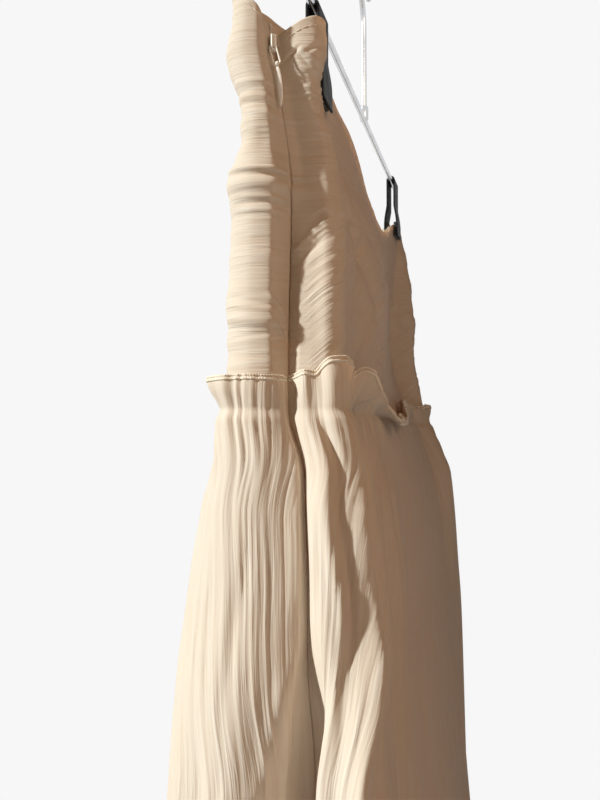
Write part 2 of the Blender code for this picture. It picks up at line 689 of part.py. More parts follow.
def build_hanger(look):
    """The hook and the bar, one welded piece of plated wire. The hook's inside top is the origin."""
    centre_z = WIRE_DIAMETER / 2 - HOOK_RADIUS
    hook = [(0, 0, BAR_Z)] + [(x, 0, z) for x, z in HOOK_NECK]
    hook += [(x, 0, centre_z + z) for x, z in arc(HOOK_RADIUS, HOOK_FROM, HOOK_TO, HOOK_STEPS)]
    bar = [(x, 0, BAR_Z) for x in np.linspace(-BAR_HALF_LENGTH, BAR_HALF_LENGTH, 3)]
    hook_shape = as_mesh(wire_curve("hook_shape", hook, WIRE_DIAMETER, look))
    bar_wire = as_mesh(wire_curve("hanger_wire", bar, WIRE_DIAMETER, look))
    join_to(bar_wire, hook_shape)


def clip_profile():
    """Half of a clip's bent sheet, as its middle line in Y and Z, from the top of the bar to the jaw."""
    over = [(y, BAR_Z + z) for y, z in arc(CLIP_NECK, 90, 0, 6)]
    leg = [(CLIP_NECK, BAR_Z - LEG_STRAIGHT), (CLIP_NECK + LEG_LEAN, JAW_BOTTOM + JAW_BEND_FROM)]
    return over + leg + [(JAW_Y, JAW_BOTTOM + JAW_BEND_TO), (JAW_Y, JAW_BOTTOM)]


def build_clip(name, centre_x, sheet_look, grip_look):
    """A sprung steel clip over the bar, and the two grips inside its jaws."""
    half = clip_profile()
    line = [(-y, z) for y, z in half[:0:-1]] + half
    points = np.array(line)
    along = np.gradient(points, axis=0)
    across = np.stack([-along[:, 1], along[:, 0]], axis=1)
    across /= np.linalg.norm(across, axis=1, keepdims=True)
    outside = points + across * CLIP_SHEET / 2
    inside = points - across * CLIP_SHEET / 2
    outline = list(outside) + list(inside[::-1])
    mesh = bmesh.new()
    left = (centre_x - CLIP_WIDTH / 2) * MM
    corners = [mesh.verts.new((left, y * MM, z * MM)) for y, z in outline]
    face = mesh.faces.new(corners)
    extruded = bmesh.ops.extrude_face_region(mesh, geom=[face], use_keep_orig=True)
    moved = [item for item in extruded["geom"] if isinstance(item, bmesh.types.BMVert)]
    bmesh.ops.translate(mesh, verts=moved, vec=(CLIP_WIDTH * MM, 0, 0))
    keep(f"{name}_spring", mesh, sheet_look, (centre_x * MM, 0, BAR_Z * MM))
    for side, turn in (("front", -1), ("back", 1)):
        size = (GRIP_WIDTH, GRIP_DEPTH, GRIP_HEIGHT)
        centre = (centre_x, turn * (GRIP_INNER + GRIP_DEPTH / 2), JAW_BOTTOM + GRIP_HEIGHT / 2)
        rounded_box(f"{name}_grip_{side}", size, centre, GRIP_ROUNDING, grip_look)


def remove_everything():
    """Empties the file that Blender starts with."""
    for item in list(bpy.data.objects):
        bpy.data.objects.remove(item)


remove_everything()
CHIFFON = material("crinkle_chiffon", (0.80, 0.70, 0.55), 0.75)
TAPE = material("zip_tape", (0.78, 0.72, 0.62), 0.7)
PULL = material("cream_metal", (0.85, 0.80, 0.70), 0.35, 0.2)
STEEL = material("plated_steel", (0.62, 0.63, 0.65), 0.25, 1.0)
DARK_STEEL = material("dark_steel", (0.10, 0.11, 0.12), 0.3, 1.0)
RUBBER = material("black_rubber", (0.03, 0.025, 0.02), 0.6)

for side in ("front", "back"):
    build_yoke(side, CHIFFON)
    build_tier(side, CHIFFON)
    build_tape(side, TAPE)
link_pivot = build_slider(PULL)
tab_pivot = build_link(link_pivot, PULL)
build_tab(tab_pivot, PULL)
build_hanger(STEEL)
build_clip("clip_near", CLIP_X, DARK_STEEL, RUBBER)
build_clip("clip_far", -CLIP_X, DARK_STEEL, RUBBER)
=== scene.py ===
import math

import bmesh
import bpy
import numpy as np
from mathutils import Matrix, Vector


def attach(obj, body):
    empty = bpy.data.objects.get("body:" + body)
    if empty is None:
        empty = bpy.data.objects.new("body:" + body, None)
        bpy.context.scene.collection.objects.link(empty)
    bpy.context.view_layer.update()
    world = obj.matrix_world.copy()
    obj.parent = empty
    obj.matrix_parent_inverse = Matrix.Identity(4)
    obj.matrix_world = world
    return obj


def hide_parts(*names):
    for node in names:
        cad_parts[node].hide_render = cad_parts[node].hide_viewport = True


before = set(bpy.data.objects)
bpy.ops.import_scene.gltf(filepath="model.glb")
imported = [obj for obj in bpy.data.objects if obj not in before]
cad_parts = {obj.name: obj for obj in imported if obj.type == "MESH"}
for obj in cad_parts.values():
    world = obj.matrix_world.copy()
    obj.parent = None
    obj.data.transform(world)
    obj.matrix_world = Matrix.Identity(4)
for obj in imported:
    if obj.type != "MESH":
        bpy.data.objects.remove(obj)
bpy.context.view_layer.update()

# How the skirt hangs. Clipped flat at the waist, the soft cloth falls into a front roll and a back roll at the
# zip end, with the side seam in the groove between them, and widens evenly to the hem.
MM = 0.001
GATHER_Z = -0.305
HEM_HEIGHT = -805
CLIP_X = 142
CLIP_HOLDS_FROM = 138
CLIP_RELAX = 60

# The plan at each height, in millimetres from the gathered seam. near and far are the X of its two ends,
# back_near is that of the back roll, and notch is how far the zip seam lies in from near. The rest are Y: of
# the rolls and the seam between them, then of the front sheet, then of the back one.
PLAN_COLUMNS = (
    "height", "near", "back_near", "far", "front", "valley", "back", "notch",
    "clip_front", "quarter_front", "middle_front", "far_clip_front", "end_front",
    "clip_back", "quarter_back", "middle_back", "far_clip_back", "end_back",
)
PLAN = (
    (200, 181, 172, -178, -32, -16, 9, 12, -1.65, -5, -8, -1.65, -21, 1.65, 2, 2, 1.65, 1),
    (172, 182, 173, -178, -33, -14, 9, 11, -1.65, -5, -8, -1.65, -22, 1.65, 2, 2, 1.65, 1),
    (160, 182, 173, -178, -36, -13, 9, 11, -1.65, -5, -8, -1.65, -23, 1.65, 3, 2, 1.65, 3),
    (148, 182.5, 171.5, -179, -32, -11, 4.6, 11, -1.65, -5.5, -8.5, -1.65, -23.5, 1.65, 4, 2.5, 1.65, 5),
    (138, 183, 171, -179, -28, -10, 5.5, 11, -1.65, -6, -9, -1.65, -24, 1.65, 5, 3, 1.65, 8),
    (118, 184, 169, -180, -28, -7, 11, 12, -7, -10, -11, -8, -25, 6, 9, 6, -1, 11),
    (100, 185, 172, -181, -33, -5, 12, 12, -13, -15, -15, -13, -26, 11, 15, 11, -4, 13),
    (60, 188, 180, -184, -33, -5, 14, 12, -20, -20, -19, -17, -26, 14, 22, 13, -4, 14),
    (0, 198, 191, -196, -31, -2, 17, 9, -22, -22, -20, -20, -27, 15, 19, 15, 12, 24),
    (-25, 203, 199, -200, -38, 6, 24, 9, -28, -27, -25, -26, -31, 22, 24, 23, 22, 34),
    (-40, 205, 204, -203, -42, 7, 27, 9, -32, -30, -28, -29, -34, 26, 27, 27, 27, 40),
    (-80, 211, 211, -210, -47, 9, 33, 10, -39, -36, -34, -35, -39, 32, 33, 33, 33, 44),
    (-110, 217, 217, -215, -49, 9, 36, 14, -42, -39, -37, -38, -41, 35, 35, 35, 35, 45),
    (-150, 223, 223, -221, -50, 10, 41, 23, -47, -43, -41, -42, -45, 39, 39, 39, 39, 47),
    (-320, 243, 243, -240, -62, 13, 56, 24, -60, -60, -58, -58, -57, 54, 54, 54, 52, 50),
    (-805, 285, 285, -282, -88, 8, 84, 20, -90, -90, -90, -90, -82, 84, 88, 88, 86, 80),
)

# The waist edge's height by place along a panel, from the zip seam, 0, to the far seam, 1
WAIST_COLUMNS = ("place", "front", "back")
WAIST = (
    (0.00, 170, 168), (0.05, 191, 177), (0.10, 184, 174), (0.15, 173, 169), (0.22, 165, 162), (0.36, 155, 154),
    (0.50, 141, 140), (0.64, 136, 134), (0.76, 143, 142), (0.88, 158, 157), (0.95, 160, 158), (1.00, 164, 164),
)

# The largest folds: top, place at the top, bottom, place at the bottom, half width, depth. Each fades in and out
# over a height, and one that reaches the hem starts with a share of its depth.
FOLD_FADE = 25.0
FOLD_START = 0.5
FOLDS = {
    "front": (
        (112, 0.06, 96, 0.06, 30, 2.6), (50, 0.08, 36, 0.02, 18, 1.6), (120, 0.20, 20, 0.45, 13, -3.0),
        (110, 0.90, 30, 0.62, 14, 2.6), (-10, 0.11, -805, 0.07, 12, -9.0),
    ),
    "back": (
        (150, 0.055, 70, 0.075, 9, 2.2), (120, 0.11, 10, 0.42, 11, -3.2), (128, 0.30, 40, 0.62, 14, 2.4),
        (110, 0.86, 60, 0.97, 12, 2.6), (95, 0.030, 12, 0.032, 9, -2.2), (95, 0.062, 12, 0.070, 9, 4.2),
        (-5, 0.030, -200, 0.085, 9, 4.0), (-8, 0.052, -150, 0.078, 7, -5.0), (-5, 0.066, -110, 0.103, 7, 6.0),
        (-160, 0.060, -805, 0.050, 8, -6.0), (-160, 0.115, -805, 0.105, 9, 6.0),
        (-10, 0.165, -805, 0.160, 9, -8.0), (-10, 0.215, -805, 0.215, 11, 6.0),
    ),
}

# Flutes of the hem, counted all round. Their uneven waves are given by size, waves all round and start.
FLUTES = 24
FLUTE_DEPTH = 9.0
FLUTE_RISE = 0.8
FLUTES_FROM = 0.10
FLUTES_OVER = 0.14
FLUTE_SHIFTS = ((0.006, 3, 1), (0.004, 5, 2))
FLUTE_SIZES = ((0.3, 4, 0.7),)

# The plan's bends. A roll's points are given by how far they lie in from its end and how far round from its
# middle, both in shares of half its thickness. A seam's side is given in shares of the notch and of the roll.
FRONT_ROLL = ((0.30, 0.72), (1.05, 1.0))
BACK_ROLL = ((0.85, 1.0), (0.22, 0.72))
FAR_ROLL = ((0.95, 1.0), (0.25, 0.7))
FRONT_SIDE = (0.5, 0.22)
FRONT_LIP = (0.10, 0.55)
BACK_LIP = (0.08, 0.42)
BACK_SIDE = (0.55, 0.25)
PLAIN_NOTCH = 12
NOTCH_TURN = 0.5

# A clip presses the cloth over its half length, and the cloth steps out to the roll beside it
CLIP_PRESS = 13
CLIP_STEP = 18
STEP_HELD = 0.45
STEP_RELAXED = 0.4
PRESS_RELAXED = 0.6


def smooth_read(places, values, at):
    """A smooth curve through the values that never swings past them."""
    steps = np.diff(values) / np.diff(places)
    before, after = steps[:-1], steps[1:]
    same_way = before * after > 0
    inner = np.where(same_way, 2 * before * after / np.where(same_way, before + after, 1), 0)
    slopes = np.concatenate([steps[:1], inner, steps[-1:]])
    first = np.clip(np.searchsorted(places, at, side="right") - 1, 0, len(places) - 2)
    span = places[first + 1] - places[first]
    along = np.clip((at - places[first]) / span, 0, 1)
    back = 1 - along
    return (
        values[first] * (1 + 2 * along) * back**2
        + slopes[first] * span * along * back**2
        + values[first + 1] * along**2 * (3 - 2 * along)
        - slopes[first + 1] * span * along**2 * back
    )


def read_table(rows, columns, key, name, at):
    """One named column of a table, read smoothly at places along its key column."""
    order = sorted(rows, key=lambda row: row[columns.index(key)])
    places = np.array([row[columns.index(key)] for row in order], float)
    values = np.array([row[columns.index(name)] for row in order], float)
    return smooth_read(places, values, np.asarray(at, float))


def plan_points(height):
    """The plan's guiding points at one height, from the zip seam along the front to the far seam and back."""
    size = {name: float(read_table(PLAN, PLAN_COLUMNS, "height", name, height)) for name in PLAN_COLUMNS}
    near, far, ridge = size["near"], size["far"], size["back_near"]
    seam = near - size["notch"]
    turned = NOTCH_TURN * max(size["notch"] - PLAIN_NOTCH, 0)
    relax = min(max((CLIP_HOLDS_FROM - height) / CLIP_RELAX, 0), 1)
    step_share = STEP_HELD + STEP_RELAXED * relax
    front_roll, back_roll = (size["valley"] - size["front"]) / 2, (size["back"] - size["valley"]) / 2
    front_middle, back_middle = size["front"] + front_roll, size["valley"] + back_roll
    front_step, back_step = size["front"] - size["clip_front"], size["back"] - size["clip_back"]
    end_roll = (size["end_back"] - size["end_front"]) / 2
    end_middle = size["end_front"] + end_roll
    front = [
        (seam, size["valley"]),
        (near - FRONT_SIDE[0] * size["notch"], size["valley"] - FRONT_SIDE[1] * front_roll),
        (near - FRONT_LIP[0] * front_roll - turned, front_middle + FRONT_LIP[1] * front_roll),
        (near, front_middle),
        *((near - inward * front_roll, front_middle - round_ * front_roll) for inward, round_ in FRONT_ROLL),
        (CLIP_X + CLIP_STEP, size["clip_front"] + step_share * front_step),
        (CLIP_X + CLIP_PRESS, size["clip_front"] + PRESS_RELAXED * relax * front_step),
        (CLIP_X - CLIP_PRESS, size["clip_front"]),
        (CLIP_X / 2, size["quarter_front"]),
        (0, size["middle_front"]),
        (-CLIP_X / 2, (size["far_clip_front"] + size["middle_front"]) / 2),
        (CLIP_PRESS - CLIP_X, size["far_clip_front"]),
        (-CLIP_PRESS - CLIP_X, size["far_clip_front"]),
        *((far + inward * end_roll, end_middle - round_ * end_roll) for inward, round_ in FAR_ROLL),
    ]
    back = [
        (far, end_middle),
        *((far + inward * end_roll, end_middle + round_ * end_roll) for inward, round_ in FAR_ROLL[::-1]),
        (-CLIP_PRESS - CLIP_X, size["far_clip_back"]),
        (CLIP_PRESS - CLIP_X, size["far_clip_back"]),
        (-CLIP_X / 2, (size["far_clip_back"] + size["middle_back"]) / 2),
        (0, size["middle_back"]),
        (CLIP_X / 2, size["quarter_back"]),
        (CLIP_X - CLIP_PRESS, size["clip_back"]),
        (CLIP_X + CLIP_PRESS, size["clip_back"] + PRESS_RELAXED * relax * back_step),
        (CLIP_X + CLIP_STEP, size["clip_back"] + step_share * back_step),
        *((ridge - inward * back_roll, back_middle + round_ * back_roll) for inward, round_ in BACK_ROLL),
        (ridge, back_middle),
        (ridge + BACK_LIP[0] * (seam - ridge), back_middle - BACK_LIP[1] * back_roll),
        (ridge + BACK_SIDE[0] * (seam - ridge), size["valley"] + BACK_SIDE[1] * back_roll),
    ]
    return np.array(front + back), len(front)


RING_SAMPLES = 400
FINE_SAMPLES = 1600
OVERLAP = 4
SEAM_TURN = 6


def distances(line):
    """How far along a line of points each of them is."""
    return np.concatenate([[0], np.cumsum(np.linalg.norm(np.diff(line, axis=0), axis=1))])


def smooth_line(places, points, at):
    """A smooth curve through points with two columns, read at places along it."""
    return np.stack([smooth_read(places, points[:, axis], at) for axis in (0, 1)], axis=1)


def plan_ring(height):
    """The plan as two runs of points, evenly spaced: zip seam to far seam along the front, then the back."""
    points, far_seam = plan_points(height)
    count = len(points)
    looped = np.vstack([points[-OVERLAP:], points, points[:OVERLAP]])
    steps = np.sqrt(np.linalg.norm(np.diff(looped, axis=0), axis=1))
    places = np.concatenate([[0], np.cumsum(steps)])
    runs = []
    for first, last in ((0, far_seam), (far_seam, count)):
        fine = np.linspace(places[first + OVERLAP], places[last + OVERLAP], FINE_SAMPLES)
        line = smooth_line(places, looped, fine)
        length = distances(line)
        even = np.linspace(0, length[-1], RING_SAMPLES + 1)
        runs.append(np.stack([np.interp(even, length, line[:, axis]) for axis in (0, 1)], axis=1))
    return runs[0], runs[1][::-1]


def plan_normals(run, seam_to_far):
    """Outward directions in plan, along one run of points. At both side seams they point straight out."""
    along = np.gradient(run, axis=0)
    out = np.stack([-along[:, 1], along[:, 0]], axis=1) * seam_to_far
    out /= np.linalg.norm(out, axis=1, keepdims=True)
    walked = np.linspace(0, distances(run)[-1], len(run))
    for distance, straight in ((walked, 1), (walked[-1] - walked, -1)):
        own = np.clip(distance / SEAM_TURN, 0, 1)[:, None]
        own = own**2 * (3 - 2 * own)
        out = own * out + (1 - own) * np.array([straight, 0])
    return out / np.linalg.norm(out, axis=1, keepdims=True)


FORM_STEP = 5
FORM_TOP = 205
FORM_HEIGHTS = np.arange(HEM_HEIGHT, FORM_TOP, FORM_STEP)
FORM = {"front": ([], [], []), "back": ([], [], [])}
for level in FORM_HEIGHTS:
    for side, run, turn in zip(("front", "back"), plan_ring(level), (1, -1)):
        FORM[side][0].append(run)
        FORM[side][1].append(plan_normals(run, turn))
        FORM[side][2].append(distances(run)[-1])
FORM = {side: tuple(np.array(part) for part in parts) for side, parts in FORM.items()}


def panel_length(panel, height):
    """A panel's length along the cloth at each height, in millimetres."""
    return np.interp(height, FORM_HEIGHTS, FORM[panel][2])


def between(grid, place, height):
    """Reads a grid of plan points at places along the panel and at heights, between its rows and columns."""
    row = np.clip((height - FORM_HEIGHTS[0]) / FORM_STEP, 0, len(FORM_HEIGHTS) - 1.001)
    column = np.clip(place * RING_SAMPLES, 0, RING_SAMPLES - 0.001)
    low, left = row.astype(int), column.astype(int)
    up, right = (row - low)[..., None], (column - left)[..., None]
    bottom = grid[low, left] * (1 - right) + grid[low, left + 1] * right
    top = grid[low + 1, left] * (1 - right) + grid[low + 1, left + 1] * right
    return bottom * (1 - up) + top * up


def ramp(value):
    """Goes smoothly from 0 to 1 as the value does."""
    value = np.clip(value, 0, 1)
    return value**2 * (3 - 2 * value)


def rise(value, start, over):
    """0 up to a start, then a smooth rise to 1 over a distance."""
    return ramp((value - start) / over)


def fall(value, end, over):
    """1 at first, then a smooth fall over a distance, to 0 at the end."""
    return ramp((end - value) / over)


def fold_depth(panel, place, height):
    """How far the largest folds push the cloth out, in millimetres."""
    total = np.zeros_like(place)
    lengths = panel_length(panel, height)
    for top, top_place, bottom, bottom_place, width, depth in FOLDS[panel]:
        down = np.clip((top - height) / (top - bottom), 0, 1)
        centre = top_place + (bottom_place - top_place) * down
        soft = min(FOLD_FADE, (top - bottom) / 2)
        fade = np.clip((top + soft - height) / (2 * soft), 0, 1)
        fade *= np.where(bottom <= HEM_HEIGHT, 1, np.clip((height - bottom + soft) / (2 * soft), 0, 1))
        grow = FOLD_START + (1 - FOLD_START) * down if bottom <= HEM_HEIGHT else 1.0
        across = (place - centre) * lengths / width
        total += depth * grow * fade**2 * (3 - 2 * fade) * np.exp(-(across**2))
    return total


def uneven_waves(turn, waves):
    """A sum of waves, each by its size, its number in a full turn and its start."""
    return sum(size * np.sin(2 * math.pi * count * turn + start) for size, count, start in waves)


def flute_depth(panel, place, height):
    """The hem's own flutes, which die out upwards and give way to the large folds at the zip end."""
    turn = place / 2 if panel == "front" else 1 - place / 2
    uneven = turn + uneven_waves(turn, FLUTE_SHIFTS)
    size = 1 + uneven_waves(turn, FLUTE_SIZES)
    lower = np.clip(height / HEM_HEIGHT, 0, 1) ** FLUTE_RISE
    away = np.clip((place - FLUTES_FROM) / FLUTES_OVER, 0, 1)
    return FLUTE_DEPTH * size * lower * away * np.sin(2 * math.pi * FLUTES * uneven)


def cloth_points(panel, place, height, out):
    """Points on the cloth's outer face, moved out by a distance, in metres."""
    level = np.maximum(height, HEM_HEIGHT)
    points = between(FORM[panel][0], place, level)
    normals = between(FORM[panel][1], place, level)
    normals /= np.linalg.norm(normals, axis=-1, keepdims=True)
    move = out + fold_depth(panel, place, level)
    move = move + np.where(height < 0, flute_depth(panel, place, level), 0)
    flat = points + normals * move[..., None]
    return np.concatenate([flat * MM, (GATHER_Z + height * MM)[..., None]], axis=-1)


# Crinkle chiffon. Hard-twisted yarns draw this thin polyester cloth up into fine ridges a little over two
# millimetres apart, which wander, fork and fade. It is matt and cream, and light glows warm through it.
TABLE_SIZE = 256
CRINKLE_WANDERS = (8, 40)
CRINKLES_WIDE = (1.2, 32)
CRINKLES_FINE = (0.75, 18)
WIDE_SIZE = 0.7
FINE_SIZE = 0.4


def ripple(across, along, pitch, length, seed):
    """Uneven smooth ridges from -1 to 1, side by side in one direction and drawn out along the other."""
    table = np.random.default_rng(seed).uniform(-1, 1, (TABLE_SIZE, TABLE_SIZE))
    x, y = across / pitch, along / length
    left, low = np.floor(x).astype(int), np.floor(y).astype(int)
    u, v = ramp(x - left), ramp(y - low)
    left, right, low, up = (number % TABLE_SIZE for number in (left, left + 1, low, low + 1))
    bottom = table[low, left] * (1 - u) + table[low, right] * u
    top = table[up, left] * (1 - u) + table[up, right] * u
    return bottom * (1 - v) + top * v


def edge_ripple(along, size, pitch, seed):
    """Uneven smooth waves along an edge, by their size."""
    return size * ripple(along, 0 * along, pitch, 1, seed)


def crinkle(across, along, seed, wanders=1.6):
    """The crinkles' relief from -1 to 1. Both directions are in millimetres along the cloth."""
    moved = across + wanders * ripple(across, along, *CRINKLE_WANDERS, seed)
    wide = ripple(moved, along, *CRINKLES_WIDE, seed + 1)
    fine = ripple(moved, along, *CRINKLES_FINE, seed + 2)
    return WIDE_SIZE * wide + FINE_SIZE * fine


def new_group(name, inputs, outputs):
    """An empty shader node group with its named inputs and outputs."""
    group = bpy.data.node_groups.new(name, "ShaderNodeTree")
    for label, kind, value in inputs:
        socket = group.interface.new_socket(label, in_out="INPUT", socket_type=kind)
        if value is not None:
            socket.default_value = value
    for label, kind in outputs:
        group.interface.new_socket(label, in_out="OUTPUT", socket_type=kind)
    return group, group.nodes.new("NodeGroupInput"), group.nodes.new("NodeGroupOutput")


def add(tree, kind, values=None, **settings):
    """Adds a node, with settings by attribute and values by socket name or number."""
    node = tree.nodes.new("ShaderNode" + kind)
    for name, value in settings.items():
        setattr(node, name, value)
    for socket, value in (values or {}).items():
        if isinstance(value, bpy.types.NodeSocket):
            tree.links.new(value, node.inputs[socket])
        else:
            node.inputs[socket].default_value = value
    return node


def maths(tree, operation, *values):
    """The result of a maths node."""
    return add(tree, "Math", dict(enumerate(values)), operation=operation).outputs[0]


def noise(tree, vector, scale, dimensions="2D", **values):
    """The result of a noise texture."""
    values = {"Vector": vector, "Scale": scale, **values}
    return add(tree, "TexNoise", values, noise_dimensions=dimensions).outputs[0]


def spread(tree, value, low, high, start=0.0, end=1.0):
    """A value from a low to a high one, spread over the range from the start to the end."""
    ends = {"Value": value, "From Min": low, "From Max": high, "To Min": start, "To Max": end}
    return add(tree, "MapRange", ends).outputs[0]


def crinkle_group():
    """Height of crinkles and weave on cloth coordinates in metres, with x across the crinkles, and a painted
    shade that darkens the crinkles' hollows.
    """
    group, given, result = new_group(
        "crinkled weave",
        [("Cloth", "NodeSocketVector", None), ("Pitch", "NodeSocketFloat", 0.0023)],
        [("Height", "NodeSocketFloat"), ("Hollow shade", "NodeSocketFloat")],
    )
    per_pitch = maths(group, "DIVIDE", 1.0, given.outputs["Pitch"])
    slow = maths(group, "MULTIPLY", per_pitch, 0.055)
    scale = add(group, "CombineXYZ", {"X": per_pitch, "Y": slow}).outputs[0]
    plain = given.outputs["Cloth"]
    cloth = add(group, "VectorMath", {0: plain, 1: scale}, operation="MULTIPLY").outputs[0]
    ridges = noise(group, cloth, 1.15, Detail=2.0, Roughness=0.55, Distortion=0.35)
    patches = noise(group, plain, 42.0, Detail=2.0)
    threads = noise(group, plain, 2600.0, Detail=1.0)
    depth = spread(group, patches, 0.3, 0.65, 0.45)
    shaped = maths(group, "MULTIPLY", maths(group, "SUBTRACT", ridges, 0.5), depth)
    woven = maths(group, "MULTIPLY_ADD", threads, 0.05, shaped)
    group.links.new(woven, result.inputs["Height"])
    # Painted shade: the tone follows the crinkles' height, so their hollows come out darker
    group.links.new(spread(group, shaped, -0.2, 0.2), result.inputs["Hollow shade"])
    return group


CRINKLED_WEAVE = crinkle_group()
CREAM = (0.85, 0.81, 0.72, 1)
# The darker cream painted into the crinkles' hollows as shade
CREAM_SHADED_HOLLOWS = (0.81, 0.735, 0.62, 1)
GLOW = (0.92, 0.62, 0.41, 1)
GLOW_SHARE = 0.27
SLANT = 38


def dressed(name, settings):
    """A new material: its tree, its surface with some values set by socket name, and itself."""
    made = bpy.data.materials.new(name)
    made.use_nodes = True
    surface = made.node_tree.nodes["Principled BSDF"]
    for label, value in settings.items():
        surface.inputs[label].default_value = value
    return made.node_tree, surface, made


def colour_and_bump(tree, surface, tone, low, high, height, strength, distance):
    """Joins a colour between two, by the tone, and a bump to the surface, and returns the bump."""
    colour = add(tree, "Mix", {0: tone, 6: low, 7: high}, data_type="RGBA")
    bump = add(tree, "Bump", {"Height": height, "Strength": strength, "Distance": distance})
    tree.links.new(colour.outputs[2], surface.inputs["Base Color"])
    tree.links.new(bump.outputs[0], surface.inputs["Normal"])
    return bump


def chiffon(name, crinkles_level):
    """Crinkle chiffon whose crinkles run level round the yoke or down the tier, with painted shade darkening
    their hollows.
    """
    tree, surface, made = dressed(name, {
        "Roughness": 0.72, "Specular IOR Level": 0.12, "Sheen Weight": 0.12, "Sheen Roughness": 0.5})
    cloth = add(tree, "UVMap", uv_map="cloth").outputs[0]

    def turned(degrees):
        """The height of crinkles turned by an angle, and the painted shade of their hollows."""
        straight = add(tree, "Mapping", {"Vector": cloth, "Rotation": (0, 0, math.radians(degrees))})
        group = add(tree, "Group", {"Cloth": straight.outputs[0]}, node_tree=CRINKLED_WEAVE)
        return group.outputs["Height"], group.outputs["Hollow shade"]

    height, tone = turned(90 if crinkles_level else 0)
    if crinkles_level:
        turn = add(tree, "Attribute", attribute_name="slant").outputs["Fac"]
        drawn = zip((height, tone), turned(90 - SLANT))
        height, tone = (add(tree, "Mix", {0: turn, 2: a, 3: b}).outputs[0] for a, b in drawn)
    # The cream darkens in the crinkles' hollows: painted shade, not the cloth's own colour
    bump = colour_and_bump(tree, surface, tone, CREAM_SHADED_HOLLOWS, CREAM, height, 0.5, 0.0012)
    through = add(tree, "BsdfTranslucent", {"Color": GLOW, "Normal": bump.outputs[0]})
    both = add(tree, "MixShader", {0: GLOW_SHARE, 1: surface.outputs[0], 2: through.outputs[0]})
    tree.links.new(both.outputs[0], tree.nodes["Material Output"].inputs["Surface"])
    return made


MERGE_DISTANCE = 1e-6


def placed(name, data, look, sharp=None):
    """Puts a finished mesh in the scene, shaded smooth, but for edges sharper than an angle in degrees."""
    data.materials.append(look)
    data.shade_smooth()
    if sharp is not None:
        data.set_sharp_from_angle(angle=math.radians(sharp))
    made = bpy.data.objects.new(name, data)
    bpy.context.scene.collection.objects.link(made)
    return made


def shaped(name, mesh, look, sharp=None):
    """Puts a bmesh in the scene as a piece."""
    data = bpy.data.meshes.new(name)
    mesh.to_mesh(data)
    mesh.free()
    return placed(name, data, look, sharp)


def close_up(mesh):
    """Joins points that meet and turns all faces outwards."""
    bmesh.ops.remove_doubles(mesh, verts=mesh.verts, dist=MERGE_DISTANCE)
    bmesh.ops.recalc_face_normals(mesh, faces=mesh.faces)


def grid_piece(name, points, look, cloth=None, attributes=None, wrap=False):
    """A mesh from a grid of points in rows and columns, with its cloth coordinates and its attributes."""
    rows, columns = points.shape[:2]
    mesh = bmesh.new()
    bmesh.ops.create_grid(mesh, x_segments=columns - 1, y_segments=rows - 1, size=1)
    data = bpy.data.meshes.new(name)
    mesh.to_mesh(data)
    mesh.free()
    corners = np.empty(len(data.vertices) * 3)
    data.vertices.foreach_get("co", corners)
    corners = corners.reshape(-1, 3)
    column = np.rint((corners[:, 0] + 1) / 2 * (columns - 1)).astype(int)
    row = np.rint((corners[:, 1] + 1) / 2 * (rows - 1)).astype(int)
    data.vertices.foreach_set("co", points[row, column].ravel())
    if cloth is not None:
        layer = data.uv_layers.new(name="cloth")
        loops = np.empty(len(data.loops), int)
        data.loops.foreach_get("vertex_index", loops)
        layer.data.foreach_set("uv", cloth[row[loops], column[loops]].ravel())
    for label, values in (attributes or {}).items():
        stored = data.attributes.new(label, "FLOAT", "POINT")
        stored.data.foreach_set("value", values[row, column].astype(np.float32))
    if wrap:
        joined = bmesh.new()
        joined.from_mesh(data)
        close_up(joined)
        joined.to_mesh(data)
        joined.free()
    return placed(name, data, look)


def thicken(piece, thickness):
    """Gives a sheet its thickness on its inner side."""
    solid = piece.modifiers.new("thickness", "SOLIDIFY")
    solid.thickness = thickness * MM
    solid.offset = -1


def spaced(length, zones):
    """Places from 0 to 1 along a panel, by zones: each is its end and its spacing, in millimetres."""
    stops = [0.0]
    for end, spacing in zones:
        start = stops[-1]
        end = min(end, length)
        count = max(1, round((end - start) / spacing))
        stops += list(np.linspace(start, end, count + 1)[1:])
    return np.array(stops) / length


# Hip yoke. A front and a back panel of the chiffon, its crinkles level, are joined at the far side seam and by
# the zip. The waist edge is turned in and stitched, and the clips hold it flat.
YOKE_TUCK = 8
TUCK_IN = 0.3
RUFFLE_HEIGHT = 14
ZIP_OPEN_FROM = 152
ZIP_OPEN_WIDTH = 6.0
ZIP_OPEN_OVER = 40
ZIP_OPEN_CURVE = 1.5
SEAM_GAP = 0.05
YOKE_CLOTH = 0.45

